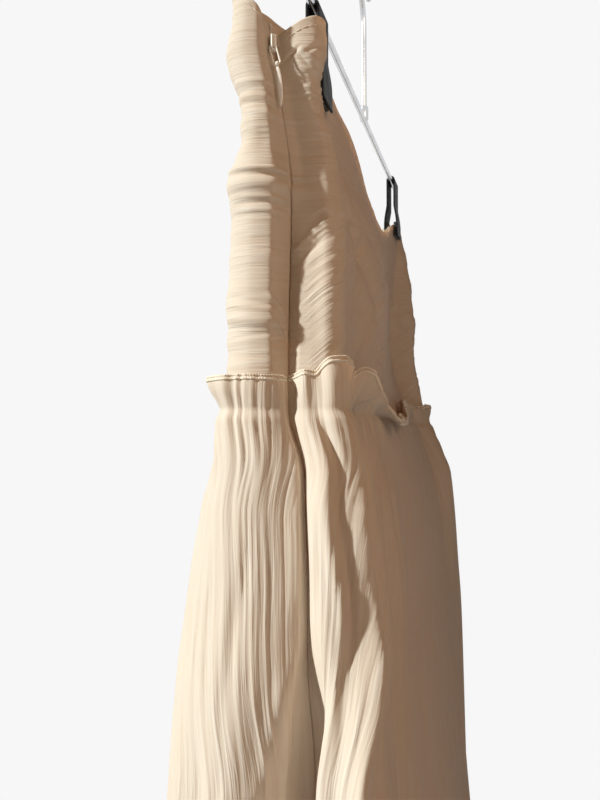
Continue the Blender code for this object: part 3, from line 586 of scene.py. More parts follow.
# Creases: along from the zip seam (or, if negative, from the far seam), height, slope in degrees, half length,
# half width, depth
CREASES = {
    "front": (
        (14, 104.4, 4, 22, 0.9, 1.3), (14, 101.8, 4, 20, 1.3, -0.9), (14, 97.5, 2, 20, 3.0, 1.4),
        (16, 92.3, 3, 16, 1.2, 0.8), (12, 89.5, 5, 14, 1.0, -0.6), (14, 86.2, 3, 14, 1.1, 0.6),
        (13, 82.5, -2, 12, 0.9, 0.4), (12, 114.0, 20, 9, 7.0, -1.6), (15, 145.0, 2, 12, 0.9, 0.5),
        (14, 141.5, -3, 12, 0.8, -0.5), (15, 138.0, 4, 13, 1.0, 0.6), (14, 134.5, 8, 12, 0.9, -0.5),
        (17, 131.0, 10, 11, 1.2, 0.5), (6, 43.5, 42, 8, 1.0, 1.0), (7, 35.0, 50, 6, 0.9, 0.9),
        (22, 38.0, 5, 12, 2.2, 1.4), (20, 46.5, 12, 12, 1.1, -0.7), (20, 43.5, 8, 12, 0.9, 0.5),
        (19, 31.5, -6, 11, 1.0, -0.5), (95, 118, -52, 38, 2.6, -1.3), (78, 96, -60, 34, 2.2, 1.1),
        (150, 88, -35, 46, 3.0, -1.2), (205, 96, -12, 48, 3.2, 1.3), (250, 78, 24, 44, 2.8, -1.2),
        (-62, 108, 52, 36, 2.4, 1.2), (-92, 96, 46, 40, 2.6, -1.3), (-24, 60, 70, 30, 2.2, -1.0),
    ),
    "back": (
        (8.5, 159.5, 35, 4.5, 0.8, -1.1), (12.5, 157.0, -55, 4.5, 0.8, -0.9),
        (15.5, 158.5, -40, 6.0, 0.9, 0.9), (19.0, 162.0, 30, 6.0, 1.0, -0.6), (18, 152.0, -4, 9, 0.9, 0.7),
        (19, 145.6, 2, 9, 0.7, 0.6), (18, 143.4, -3, 9, 0.7, 0.6), (17, 141.2, -2, 8, 0.7, 0.6),
        (16, 139.0, 0, 6, 0.7, 0.5), (19.5, 138.5, 84, 5.5, 0.9, -1.3), (17.6, 133.4, 8, 2.6, 0.9, -1.1),
        (21.5, 139.0, 84, 5.5, 1.0, 0.6), (10, 77, 43, 14, 1.8, 0.8), (13, 73, 43, 14, 1.5, -0.6),
        (79, 107, 86, 13, 2.2, -1.4), (86, 80, 64, 20, 2.2, -1.5), (108, 50, 42, 22, 2.4, -1.6),
        (140, 33, 16, 22, 2.4, -1.5), (72, 100, 78, 26, 2.4, 1.1), (96, 47, 46, 24, 2.4, 1.1),
        (44, 96, 66, 30, 2.2, -0.9), (52, 118, 74, 20, 1.8, 0.9), (118, 96, -28, 42, 3.0, 1.1),
        (166, 84, 14, 48, 3.0, -1.2), (214, 92, -14, 44, 3.0, 1.3), (262, 74, 30, 40, 2.6, -1.2),
        (-58, 104, -52, 34, 2.2, 1.2), (-88, 92, -44, 38, 2.6, -1.2), (-16, 92, -74, 26, 2.2, 1.6),
        (-24, 78, -58, 18, 1.6, -1.4), (-10, 70, 60, 16, 1.6, -1.2),
    ),
}


def crease_depth(creases, panel, along, height, length):
    """Soft troughs and ridges of one panel, in millimetres. The other panel's run on across the zip seam."""
    total = np.zeros_like(along)
    rows = [(name, *row) for name, own in creases.items() for row in own]
    for name, centre, level, slope, half_length, half_width, depth in rows:
        centre = centre if centre >= 0 else length + centre
        turn = math.radians(slope)
        right, up = (along if name == panel else -along) - centre, height - level
        run = (right * math.cos(turn) + up * math.sin(turn)) / half_length
        side = (up * math.cos(turn) - right * math.sin(turn)) / half_width
        total += depth * np.exp(-(run**4) - side**2)
    return total


def zip_shift(places, height, length):
    """Opens the zip above its slider: the panel's columns move away from the seam, most at the edge."""
    opened = np.clip((height - ZIP_OPEN_FROM) / ZIP_OPEN_OVER, 0, 1) ** ZIP_OPEN_CURVE * ZIP_OPEN_WIDTH
    edge = (SEAM_GAP / 2 + opened) / length
    return edge + places * (1 - edge - SEAM_GAP / 2 / length)


# Cloth on the slant: its share, where it starts along the panel and over what distance, and the height that it
# ends at and over what distance
SLANTED = {"front": (0.55, 34, 25, 112, 30), "back": (1.0, 5, 9, 98, 16)}


def slant_of(panel, along, height):
    """Where the cloth hangs on the slant and its crinkles are drawn up to the clip: 1 there and 0 elsewhere."""
    share, start, over, top, fade = SLANTED[panel]
    return share * rise(along, start, over) * fall(height, top, fade)


def groove(distance, depth, width):
    """A seam's soft groove, by the distance from the seam."""
    return -depth * np.exp(-((distance / width) ** 2))


# Where relief starts or ends, and over what distance: above the ruffle, beside a clip and above its jaws' foot,
# in from the panel's ends, and along from the zip
FREE_ABOVE = (10, 10)
PRESSED_WITHIN = (19, 5)
PRESSED_ABOVE = (128, 8)
DRAWN_WITHIN = (70, 30)
SMALL_FROM = (4, 12)
STRONG_FROM = (30, 20)
STRONGER = 0.7
CRINKLE_SEED = 11
DRAWN_SEED = 21
DRAWN_SIZE = 3.0
YOKE_STRENGTH = (0.10, 0.16)
YOKE_STRENGTH_ENDS = (0.02, 0.3)
YOKE_PATCHES = (13, 19, 31)
SMALL_SIZE = 0.5
SMALL_FOLDS = (6, 30, 41)
FAR_GROOVE = (0.5, 1.2)
ZIP_GROOVE = (0.18, 0.9)


def yoke_relief(panel, along, height, length):
    """Creases and crinkles of a yoke panel, in millimetres, fading where the clips and the ruffle hold it."""
    from_end = np.minimum(along, length - along)
    from_middle = np.abs(cloth_points(panel, along / length, height, 0 * along)[..., 0]) / MM
    held = fall(np.abs(from_middle - CLIP_X), *PRESSED_WITHIN) * rise(height, *PRESSED_ABOVE)
    slant = slant_of(panel, along, height)
    turn = math.radians(SLANT)
    up = height * math.cos(turn) - along * math.sin(turn)
    side = height * math.sin(turn) + along * math.cos(turn)
    level = crinkle(height, along, CRINKLE_SEED)
    drawn = slant * fall(from_end, *DRAWN_WITHIN) * crinkle(up, side, DRAWN_SEED) * DRAWN_SIZE
    base, change = YOKE_STRENGTH
    strength = np.clip(base + change * ripple(along, height, *YOKE_PATCHES), *YOKE_STRENGTH_ENDS)
    small = SMALL_SIZE * ripple(height, along, *SMALL_FOLDS) * rise(from_end, *SMALL_FROM)
    creased = crease_depth(CREASES, panel, along, height, length) * (1 + STRONGER * rise(along, *STRONG_FROM))
    relief = creased + strength * ((1 - slant) * level + drawn) + small
    relief = relief * rise(height, *FREE_ABOVE) * (1 - held)
    return relief + groove(length - along, *FAR_GROOVE) + groove(along, *ZIP_GROOVE)


def yoke_surface(panel, places, heights, out=0.0):
    """Points on the finished yoke cloth at places along it and at heights."""
    length = panel_length(panel, heights)
    level = np.maximum(heights, 0)
    drawn_in = np.where(heights <= RUFFLE_HEIGHT, -TUCK_IN, 0.0)
    along = places * length
    move = out + drawn_in + yoke_relief(panel, along, level, length)
    points = cloth_points(panel, places, level, move)
    points[..., 2] = GATHER_Z + heights * MM
    return points


CHIFFON_YOKE = chiffon("chiffon_level_crinkle", True)
YOKE_ROWS = 262
YOKE_WAIST = 400
YOKE_ZONES = ((62, 0.85), (YOKE_WAIST - 40, 3.0), (YOKE_WAIST, 1.8))
WAIST_UNEVEN = (0.35, 6, 51)


def waist_height(panel, places):
    """The waist edge's height above the gathered seam, a little uneven."""
    edge = read_table(WAIST, WAIST_COLUMNS, "place", panel, places)
    return edge + edge_ripple(places * YOKE_WAIST, *WAIST_UNEVEN)


def yoke_panel(panel):
    """One hip yoke panel."""
    columns = spaced(YOKE_WAIST, YOKE_ZONES)
    edge = waist_height(panel, columns)
    share = np.linspace(0, 1, YOKE_ROWS)[:, None]
    heights = -YOKE_TUCK + (edge + YOKE_TUCK) * share
    length = panel_length(panel, heights)
    places = zip_shift(columns[None, :], heights, length)
    points = yoke_surface(panel, places, heights)
    cloth = np.stack([places * length * MM, heights * MM], axis=-1)
    slant = slant_of(panel, places * length, heights)
    if panel == "front":
        points, cloth, slant = points[:, ::-1], cloth[:, ::-1], slant[:, ::-1]
    piece = grid_piece(f"yoke_{panel}_cloth", points, CHIFFON_YOKE, cloth, {"slant": slant})
    thicken(piece, YOKE_CLOTH)
    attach(piece, "skirt_and_hanger")
    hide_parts(f"yoke_{panel}")


yoke_panel("front")
yoke_panel("back")


# Long lower tier and its ruffle. Each panel is cut much wider than the yoke and drawn up on gathering threads.
# It is sewn on below its top edge, so the edge stands up as a ruffle, and its crinkles run down to the hem.
TIER_CLOTH = 0.4
SEAM_PRESS = 20
FAR_SEAM_PRESS = 8
GATHERS = 60
GATHER_WAVES = ((0.28, 7.3, 1), (0.22, 17.1, 2))

# How far the gathers' crests, the finest gathers and the whole cloth stand out, by height
TIER_COLUMNS = ("height", "crest", "fine", "lean")
TIER_FORM = (
    (-805, 0.0, 0.0, 1.3),
    (-380, 0.15, 0.0, 1.3),
    (-240, 0.1, 0.0, 1.3),
    (-140, 0.12, 0.05, 1.3),
    (-70, 0.15, 0.12, 1.4),
    (-30, 0.25, 0.35, 1.9),
    (-12, 0.4, 0.85, 2.6),
    (-4, 0.6, 1.1, 2.5),
    (0, 0.4, 0.8, 1.3),
    (3, 0.5, 1.05, 1.5),
    (8, 0.5, 0.95, 2.2),
    (14, 0.3, 0.5, 3.0),
)

# Waves of the ruffle by the zip: how far its edge leans out and rises, by millimetres along
RUFFLE_COLUMNS = ("along", "lean", "rise")
RUFFLE_WAVES = {
    "front": (
        (0, 0.6, -0.5), (4, 1.2, 0.0), (12, 1.6, 0.2), (20, 2.2, 0.4), (28, 4.8, 0.2), (36, 6.5, 0.0),
        (43, 2.4, 0.4), (52, 5.0, -0.2), (60, 1.5, 0.6), (70, 5.5, 0.0), (82, 2.0, 0.0), (96, 6.0, 0.0),
        (110, 2.0, 0.8), (130, 7.0, -1.0), (150, 2.0, 0.5), (175, 6.0, -1.0), (200, 2.0, 0.5), (240, 7.0, -2.0),
        (280, 3.0, 0.0), (450, 2.0, 0.0),
    ),
    "back": (
        (0, 0.6, 0.0), (5, 1.4, 1.5), (9, 4.4, 2.5), (12.5, 1.8, 2.0), (15, 1.0, 4.5), (18, 2.4, 8.0),
        (22, 3.4, 8.5), (25.5, 2.8, 6.5), (28, 0.8, 0.5), (31, 7.0, 4.5), (35, 12.0, 3.0), (39, 15.0, -4.0),
        (44, 8.0, -7.0), (50, 2.0, 0.0), (58, 8.0, 1.0), (68, 3.0, 2.0), (82, 8.0, -1.0), (96, 3.0, 1.0),
        (105, 6.0, -3.0), (118, 10.0, -14.0), (140, 11.0, -18.0), (165, 8.0, -12.0), (190, 10.0, -17.0),
        (220, 9.0, -13.0), (250, 6.0, -6.0), (280, 3.0, 0.0), (450, 2.0, 0.0),
    ),
}

# Ridges and troughs of the tier by the zip, in the columns of the yoke's creases
TIER_CREASES = {
    "front": (
        (17.0, -124, -68.4, 42, 4.0, 1.6), (4.0, -152, -68.4, 62, 14.0, -7.5),
        (34.0, -110, -80, 60, 3.0, -0.9), (47.0, -90, -84, 50, 3.4, 0.9), (5.0, -32, -89, 52, 3.6, 1.9),
    ),
    "back": (
        (27.5, -52, -81.5, 60, 3.0, 6.2), (36.0, -128, -87, 46, 3.2, 6.0), (19.0, -46, -82, 52, 2.4, -4.0),
        (27.0, -128, -87, 44, 3.2, -3.0), (20.0, -90, -78, 50, 2.6, -1.0), (60.0, -70, -80, 55, 3.5, 1.4),
        (78.0, -90, -84, 70, 4.0, -1.6), (96.0, -60, -82, 45, 3.5, 1.4), (130.0, -80, -86, 60, 4.5, -1.8),
    ),
}


def gather_wave(place):
    """Crests at 1 and troughs at 0 along a panel, with uneven crests."""
    wave = 0.5 - 0.5 * np.cos(2 * math.pi * GATHERS * place)
    return wave * (1 + uneven_waves(place, GATHER_WAVES))


# The cut cloth fans out from a distance along the panel, and near the zip the side roll swallows some of the
# front's
FANS_FROM = (100, 150)
CUT_WIDTH = 600
CUT_NEAR = 1.35
SWALLOWED = 8.0
SWALLOWED_OVER = 45


def cut_place(panel, places, along, heights):
    """Millimetres across the cut cloth, whose crinkles hang straight near the zip and fan out further on."""
    fans = rise(along, *FANS_FROM)
    swallowed = SWALLOWED * ramp(-heights / SWALLOWED_OVER) if panel == "front" else 0.0
    return CUT_WIDTH * places * fans + CUT_NEAR * (along - swallowed) * (1 - fans)


# Relief of the tier. A pair is where it starts or ends and over what distance, and the others give ripples by
# their size, pitch, length and seed.
NEAR_ZIP = (150, 60)
TIER_OUT = 0.5
HELD_LEAN = 0.15
FINE_SHARE = 0.6
FINE_GATHERS = (1.75, 90, 61)
PLEATS_OVER = 30
PLEATS = ((0.35, 6.5, 220, 71), (0.3, 3.2, 130, 81))
TIER_STRENGTH = (0.42, 0.16)
TIER_PATCHES = (20, 90, 91)
TIER_CRINKLE_SEED = 101
TIER_WANDERS = 0.8
FAR_STRENGTH = 0.35
RUFFLE_STRENGTH = 0.4
WHOLE_BELOW = 12
TIER_ZIP_GROOVE = (0.3, 1.4)
TIER_FAR_GROOVE = (0.7, 1.4)

# The ruffle's edge. Its uneven waves give size, pitch and seed.
MOST_LEAN = 15
FLARE_OVER = 5
FLARE_MORE = 1.0
FAR_RUFFLE_FROM = (265, 20)
UNEVEN_FROM = (60, 20)
UNEVEN_LEAN = (1.2, 6, 131)
FAR_LEAN = (3.4, 7.5, 111)
FAR_RISE = (1.2, 9, 121)


def ruffle_edge(panel, along, cut):
    """How far the ruffle's edge leans out and rises."""
    table = RUFFLE_WAVES[panel]
    lean, rises = (read_table(table, RUFFLE_COLUMNS, "along", name, along) for name in RUFFLE_COLUMNS[1:])
    far = rise(along, *FAR_RUFFLE_FROM)
    near_lean = np.clip(lean, 0, MOST_LEAN) + edge_ripple(cut, *UNEVEN_LEAN) * rise(along, *UNEVEN_FROM)
    far_lean = FAR_LEAN[0] + edge_ripple(cut, *FAR_LEAN)
    return near_lean * (1 - far) + far_lean * far, rises * (1 - far) + far * edge_ripple(cut, *FAR_RISE)


def tier_surface(panel, places, heights, out=0.0):
    """Points on the finished tier and ruffle."""
    length = panel_length(panel, np.minimum(heights, 0))
    along = places * length
    cut = cut_place(panel, places, along, heights)
    names = TIER_COLUMNS[1:]
    crest, fine, lean = (read_table(TIER_FORM, TIER_COLUMNS, "height", name, heights) for name in names)
    free = HELD_LEAN + (1 - HELD_LEAN) * ramp(along / SEAM_PRESS) * ramp((length - along) / FAR_SEAM_PRESS)
    near = fall(along, *NEAR_ZIP)
    small = fine * (FINE_SHARE + near) * (0.5 + 0.5 * ripple(cut, heights, *FINE_GATHERS))
    pleats = ramp(-heights / PLEATS_OVER) * sum(size * ripple(cut, heights, *form) for size, *form in PLEATS)
    strength = TIER_STRENGTH[0] + TIER_STRENGTH[1] * ripple(cut, heights, *TIER_PATCHES)
    strength = strength * (FAR_STRENGTH + (1 - FAR_STRENGTH) * near)
    strength = strength * (RUFFLE_STRENGTH + (1 - RUFFLE_STRENGTH) * ramp(-heights / WHOLE_BELOW))
    crinkled = strength * crinkle(cut, heights / 2, TIER_CRINKLE_SEED, TIER_WANDERS)
    up = ramp(heights / RUFFLE_HEIGHT)
    edge_lean, edge_rise = ruffle_edge(panel, along, cut)
    flare = up * (edge_lean - lean + FLARE_MORE) * ramp(along / FLARE_OVER)
    pressed = groove(along, *TIER_ZIP_GROOVE) + groove(length - along, *TIER_FAR_GROOVE)
    creased = crease_depth(TIER_CREASES, panel, along, heights, length)
    stands = (lean + crest * gather_wave(places) + small + pleats) * free
    move = out + TIER_OUT + stands + flare + crinkled + creased + pressed
    return cloth_points(panel, places, heights + up * edge_rise, move)


CHIFFON_TIER = chiffon("chiffon_running_crinkle", False)
TIER_SEAM_LENGTH = 446
TIER_ROWS = ((HEM_HEIGHT, -150, 62), (-150, -40, 32), (-40, 0, 30), (0, RUFFLE_HEIGHT, 17))
TIER_ZONES = ((72, 0.55), (190, 1.3), (TIER_SEAM_LENGTH - 30, 2.3), (TIER_SEAM_LENGTH, 1.5))


def tier_rows():
    """Heights of the tier's rows, closest together in the ruffle and just under the gathered seam."""
    return np.concatenate([[HEM_HEIGHT]] + [np.linspace(*part)[1:] for part in TIER_ROWS])


def tier_panel(panel):
    """One tier panel with its ruffle."""
    columns = spaced(TIER_SEAM_LENGTH, TIER_ZONES)
    heights = tier_rows()[:, None] + 0 * columns
    edge = SEAM_GAP / 2 / panel_length(panel, heights)
    places = edge + columns * (1 - 2 * edge)
    points = tier_surface(panel, places, heights)
    along = places * panel_length(panel, np.minimum(heights, 0))
    cloth = np.stack([cut_place(panel, places, along, heights) * MM, heights * MM], axis=-1)
    if panel == "front":
        points, cloth = points[:, ::-1], cloth[:, ::-1]
    piece = grid_piece(f"tier_{panel}_cloth", points, CHIFFON_TIER, cloth)
    thicken(piece, TIER_CLOTH)
    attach(piece, "skirt_and_hanger")
    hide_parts(f"tier_{panel}")


tier_panel("front")
tier_panel("back")


# Rolled edges and stitching. The ruffle's edge and the hem are rolled and overlocked, so the thread stands in
# small beads. A row of lockstitch holds the turned-in waist, and another closes the far side seam.
THREAD_RADIUS = 0.14
BEAD_PITCH = 1.15
EDGE_RADIUS = 0.52
ANY_SIDE = (0.31, 0.52, 0.79)


def path_frames(path, closed):
    """Two directions across a path at each of its points, carried along it without twisting."""
    ahead = np.roll(path, -1, axis=0) - np.roll(path, 1, axis=0)
    if not closed:
        ahead[0], ahead[-1] = path[1] - path[0], path[-1] - path[-2]
    ahead /= np.linalg.norm(ahead, axis=1, keepdims=True)
    side = np.cross(ahead[0], ANY_SIDE)
    carried = []
    for step in ahead:
        side = side - step * np.dot(side, step)
        side = side / np.linalg.norm(side)
        carried.append(side)
    carried = np.array(carried)
    return carried, np.cross(ahead, carried)


def tube_points(path, radii, sides, closed=False):
    """Rings of points round a path. The first and last ring of an open path close to a point."""
    across, over = path_frames(path, closed)
    turn = np.linspace(0, 2 * math.pi, sides + 1)
    radii = np.broadcast_to(np.asarray(radii, float) * MM, len(path))[:, None, None]
    round_ = across[:, None] * np.cos(turn)[:, None] + over[:, None] * np.sin(turn)[:, None]
    rings = path[:, None] + radii * round_
    if closed:
        return np.concatenate([rings, rings[:1]])
    return np.concatenate([0 * rings[:1] + path[0], rings, 0 * rings[:1] + path[-1]])


def tube(name, path, radii, look, sides=8, closed=False):
    """A round piece along a path in metres, with radii in millimetres."""
    return grid_piece(name, tube_points(path, radii, sides, closed), look, wrap=True)


def several(name, parts, look):
    """One piece made of many closed shapes, each a grid of points."""
    joined = bmesh.new()
    for points in parts:
        rows, columns = points.shape[:2]
        start = len(joined.verts)
        bmesh.ops.create_grid(joined, x_segments=columns - 1, y_segments=rows - 1, size=1)
        joined.verts.ensure_lookup_table()
        for vertex in joined.verts[start:]:
            column = round((vertex.co.x + 1) / 2 * (columns - 1))
            row = round((vertex.co.y + 1) / 2 * (rows - 1))
            vertex.co = points[row, column]
    close_up(joined)
    return shaped(name, joined, look)


def grain_group():
    """Fine uneven grain on a piece's own coordinates, by its scale, drawn out by its stretch."""
    group, given, result = new_group(
        "fine grain",
        [("Place", "NodeSocketVector", None), ("Scale", "NodeSocketFloat", 900.0),
         ("Stretch", "NodeSocketVector", (1.0, 1.0, 1.0))],
        [("Height", "NodeSocketFloat"), ("Patches", "NodeSocketFloat")],
    )
    place, scale = given.outputs["Place"], given.outputs["Scale"]
    drawn = add(group, "VectorMath", {0: place, 1: given.outputs["Stretch"]}, operation="MULTIPLY")
    grain = noise(group, drawn.outputs[0], scale, "3D", Detail=3.0, Roughness=0.6)
    patches = noise(group, place, maths(group, "MULTIPLY", scale, 0.12), "3D")
    group.links.new(grain, result.inputs["Height"])
    group.links.new(spread(group, patches, 0.35, 0.65), result.inputs["Patches"])
    return group


FINE_GRAIN = grain_group()


def grained(name, colour, worn, scale, stretch, roughness, bump, distance, **settings):
    """A finish with grain: its two colours, its roughness from smooth to dull, and its bump."""
    settings = {label.replace("_", " "): value for label, value in settings.items()}
    tree, surface, made = dressed(name, settings)
    place = add(tree, "TexCoord").outputs["Object"]
    values = {"Place": place, "Scale": scale, "Stretch": stretch}
    grain = add(tree, "Group", values, node_tree=FINE_GRAIN)
    height = grain.outputs["Height"]
    colour_and_bump(tree, surface, grain.outputs["Patches"], (*colour, 1), (*worn, 1), height, bump, distance)
    tree.links.new(spread(tree, height, 0.3, 0.7, *roughness), surface.inputs["Roughness"])
    return made


THREAD = grained("cream_thread", (0.83, 0.755, 0.64), (0.74, 0.64, 0.51), 2200.0, (1, 1, 1), (0.55, 0.8),
                 0.4, 0.0002)
EDGE_INSET = 0.001
EDGE_ZONES = ((95, 0.26), (TIER_SEAM_LENGTH, 0.55))
HEM_STEPS = 900
HEM_LIFT = 0.4
# The ruffle's two rows of thread: height, how far out, and size of the beads
RUFFLE_THREADS = ((RUFFLE_HEIGHT, -0.2, 0.26), (RUFFLE_HEIGHT - 1.5, 0.1, 0.2))


def rolled_edge(name, panel, places, height, out, beads):
    """An overlocked edge of a tier: a cord with a bead for each stitch."""
    path = tier_surface(panel, places, np.full_like(places, height), out)
    swell = 1 + beads * np.sin(2 * math.pi * distances(path) / MM / BEAD_PITCH)
    piece = tube(name, path, EDGE_RADIUS * swell, THREAD, sides=6)
    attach(piece, "skirt_and_hanger")


for side in ("front", "back"):
    places = EDGE_INSET + spaced(TIER_SEAM_LENGTH, EDGE_ZONES) * (1 - 2 * EDGE_INSET)
    for number, (height, out, beads) in enumerate(RUFFLE_THREADS):
        rolled_edge(f"ruffle_edge_{side}_{number + 1}", side, places, height, out, beads)
    places = np.linspace(EDGE_INSET, 1 - EDGE_INSET, HEM_STEPS)
    rolled_edge(f"hem_edge_{side}", side, places, HEM_HEIGHT + HEM_LIFT, -0.2, 0.0)

STITCH_LENGTH = 2.3
STITCH_GAP = 0.7
STITCH_STEPS = 5
STITCH_START = 1.0
STITCH_LIFT = (0.05, 0.14)
WAIST_TURN = 4.5
FAR_SEAM_TOP = 160
FAR_SEAM_LENGTH = 143
FAR_SEAM_BESIDE = 2.2


def stitches(name, reader, length, pitch=STITCH_LENGTH + STITCH_GAP):
    """A row of stitches along a line that a function gives in metres by millimetres walked."""
    share = np.linspace(0, 1, STITCH_STEPS)
    lift = STITCH_LIFT[0] + STITCH_LIFT[1] * np.sin(math.pi * share)
    starts = np.arange(STITCH_START, length - pitch, pitch)
    parts = [tube_points(reader(start + share * STITCH_LENGTH, lift), THREAD_RADIUS, 5) for start in starts]
    piece = several(name, parts, THREAD)
    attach(piece, "skirt_and_hanger")


for side in ("front", "back"):
    def waist_line(walked, lift, side=side):
        places = walked / YOKE_WAIST
        heights = waist_height(side, places) - WAIST_TURN
        length = panel_length(side, heights)
        return yoke_surface(side, zip_shift(places, heights, length), heights, lift)

    stitches(f"waist_stitches_{side}", waist_line, YOKE_WAIST - 1)


def far_seam_line(walked, lift):
    """The line beside the far side seam, from the waist down to the ruffle."""
    heights = FAR_SEAM_TOP - walked
    return yoke_surface("back", 1 - FAR_SEAM_BESIDE / panel_length("back", heights), heights, lift)


stitches("far_seam_stitches", far_seam_line, FAR_SEAM_LENGTH)


# Invisible zip. Two woven polyester tapes with a nylon coil each are sewn inside the seam edges. The coils are
# closed below the slider, where the cloth meets over them, and stand apart above it.
TAPE_OUT = -0.85
TAPE_THICKNESS = 0.35
TAPE_WIDTH = 10.5
TAPE_FROM = 32
COIL_RADIUS = 0.75
COIL_WIRE = 0.27
COIL_PITCH = 0.95
COIL_STEPS = 10
COIL_STANDS = 1.3
COIL_STANDS_OVER = 8
COIL_MIDDLE = 0.4
COIL_WIDER = 1.1
COIL_FLATTER = 0.6
COIL_LIFT = 0.35
SLIDER_HEIGHT = 164


def tape_weave():
    """A plain woven tape: fine ribs along it, crossed by finer weft."""
    tree, surface, made = dressed("woven_zip_tape", {"Roughness": 0.7, "Specular IOR Level": 0.3})
    cloth = add(tree, "UVMap", uv_map="cloth").outputs[0]
    ribs, weft = (
        add(tree, "TexWave", {"Vector": cloth, "Scale": scale, "Distortion": uneven, "Detail": 1.0},
            bands_direction=direction).outputs["Fac"]
        for scale, uneven, direction in ((420.0, 0.6, "X"), (760.0, 0.4, "Y"))
    )
    woven = maths(tree, "MULTIPLY", ribs, weft)
    colour_and_bump(tree, surface, woven, (0.72, 0.64, 0.53, 1), (0.86, 0.81, 0.72, 1), woven, 0.5, 0.0003)
    return made


TAPE_WEAVE = tape_weave()
COIL_NYLON = grained("coil_nylon", (0.87, 0.82, 0.73), (0.80, 0.73, 0.62), 1500.0, (1, 1, 1), (0.25, 0.45),
                     0.1, 0.0001, Specular_IOR_Level=0.5)


def tape_surface(panel, in_from_edge, heights, out):
    """Points on a tape by their distance from its coil edge, which stands out of the cloth's edge."""
    length = panel_length(panel, heights)
    edge = zip_shift(np.zeros_like(heights), heights, length) * length
    stands = COIL_STANDS * rise(heights, SLIDER_HEIGHT, COIL_STANDS_OVER)
    return yoke_surface(panel, (edge - stands + in_from_edge) / length, heights, out)


TAPE_TOP_AT = 0.012
TAPE_STOPS_BELOW = 1.5
TAPE_ROWS = 150
TAPE_COLUMNS = 15


def zip_tape(panel):
    """One tape with the coil along its edge."""
    top = float(waist_height(panel, np.array([TAPE_TOP_AT]))[0]) - TAPE_STOPS_BELOW
    across = np.linspace(0, TAPE_WIDTH, TAPE_COLUMNS)[None, :]
    heights = np.linspace(TAPE_FROM, top, TAPE_ROWS)[:, None] + 0 * across
    points = tape_surface(panel, across, heights, TAPE_OUT)
    cloth = np.stack([across + 0 * heights, heights], axis=-1) * MM
    if panel == "front":
        points, cloth = points[:, ::-1], cloth[:, ::-1]
    piece = grid_piece(f"zip_tape_{panel}_woven", points, TAPE_WEAVE, cloth)
    thicken(piece, TAPE_THICKNESS)
    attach(piece, "skirt_and_hanger")
    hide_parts(f"zip_tape_{panel}")
    turns = (top - SLIDER_HEIGHT) / COIL_PITCH
    angle = np.linspace(0, 2 * math.pi * turns, int(turns * COIL_STEPS))
    level = SLIDER_HEIGHT + angle / (2 * math.pi) * COIL_PITCH
    inward = COIL_MIDDLE + COIL_WIDER * COIL_RADIUS * np.cos(angle)
    raised = TAPE_OUT + COIL_LIFT + COIL_RADIUS * COIL_FLATTER * (1 + np.sin(angle))
    coil = tape_surface(panel, inward, level, raised)
    teeth = tube(f"zip_coil_{panel}", coil, COIL_WIRE, COIL_NYLON, sides=6)
    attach(teeth, "skirt_and_hanger")


zip_tape("front")
zip_tape("back")


# Slider and pull. A small die-cast slider in cream enamel sits on the closed coils, with a wire bridge along
# its face. A wire link hangs from the bridge's lower end and carries a slim drop-shaped tab by its eye.
SLIDER_SIZE = Vector((2.6, 2.8, 7.6))
SLIDER_LIFT = 2.5
SLIDER_SHIFT = 0.6
SLIDER_TAPER = 0.22
SLIDER_CROWN = 0.25
SLIDER_ROUNDING = 0.45
BRIDGE_HALF_LENGTH = 3.2
BRIDGE_RISE = 1.7
BRIDGE_WIRE = 0.8
BRIDGE_BEND = 1.0
BRIDGE_CORNER = 0.3
BRIDGE_ROOT = 0.3
BRIDGE_STEPS = 41
LINK_DROP = 2.0
LINK_OFF_FACE = 0.8
LINK_LENGTH = 9.6
LINK_WIDTH = 3.9
LINK_WIRE = 0.8
LINK_BEND = 0.9
LINK_LEAN = math.radians(15)
TAB_LEAN = math.radians(5)
TAB_LENGTH = 19.8
TAB_WIDTH = 2.4
TAB_DEPTH = 0.9
EYE_RADIUS = 1.0
EYE_WIDTH = 1.2
EYE_WIRE = 0.25
ENAMEL = grained("cream_enamel", (0.90, 0.865, 0.79), (0.84, 0.79, 0.70), 700.0, (1, 1, 1), (0.22, 0.38),
                 0.08, 0.0001, Metallic=0.0, Coat_Weight=0.5, Coat_Roughness=0.12, Specular_IOR_Level=0.6)


def rounded(outline, radius, steps=6):
    """A closed outline of two-column points with its corners rounded."""
    smooth = []
    outline = np.array(outline, float)
    for before, corner, after in zip(np.roll(outline, 1, axis=0), outline, np.roll(outline, -1, axis=0)):
        start, end = (corner + (to - corner) / np.linalg.norm(to - corner) * radius for to in (before, after))
        for share in np.linspace(0, 1, steps):
            smooth.append((1 - share) ** 2 * start + 2 * share * (1 - share) * corner + share**2 * end)
    return np.array(smooth)


seam = cloth_points("front", np.array([0.0]), np.array([float(SLIDER_HEIGHT)]), np.array([0.0]))[0]
slider_centre = Vector(seam) / MM + Vector((SLIDER_LIFT + SLIDER_SIZE.x / 2, SLIDER_SHIFT, 0))
slider_face = slider_centre.x + SLIDER_SIZE.x / 2

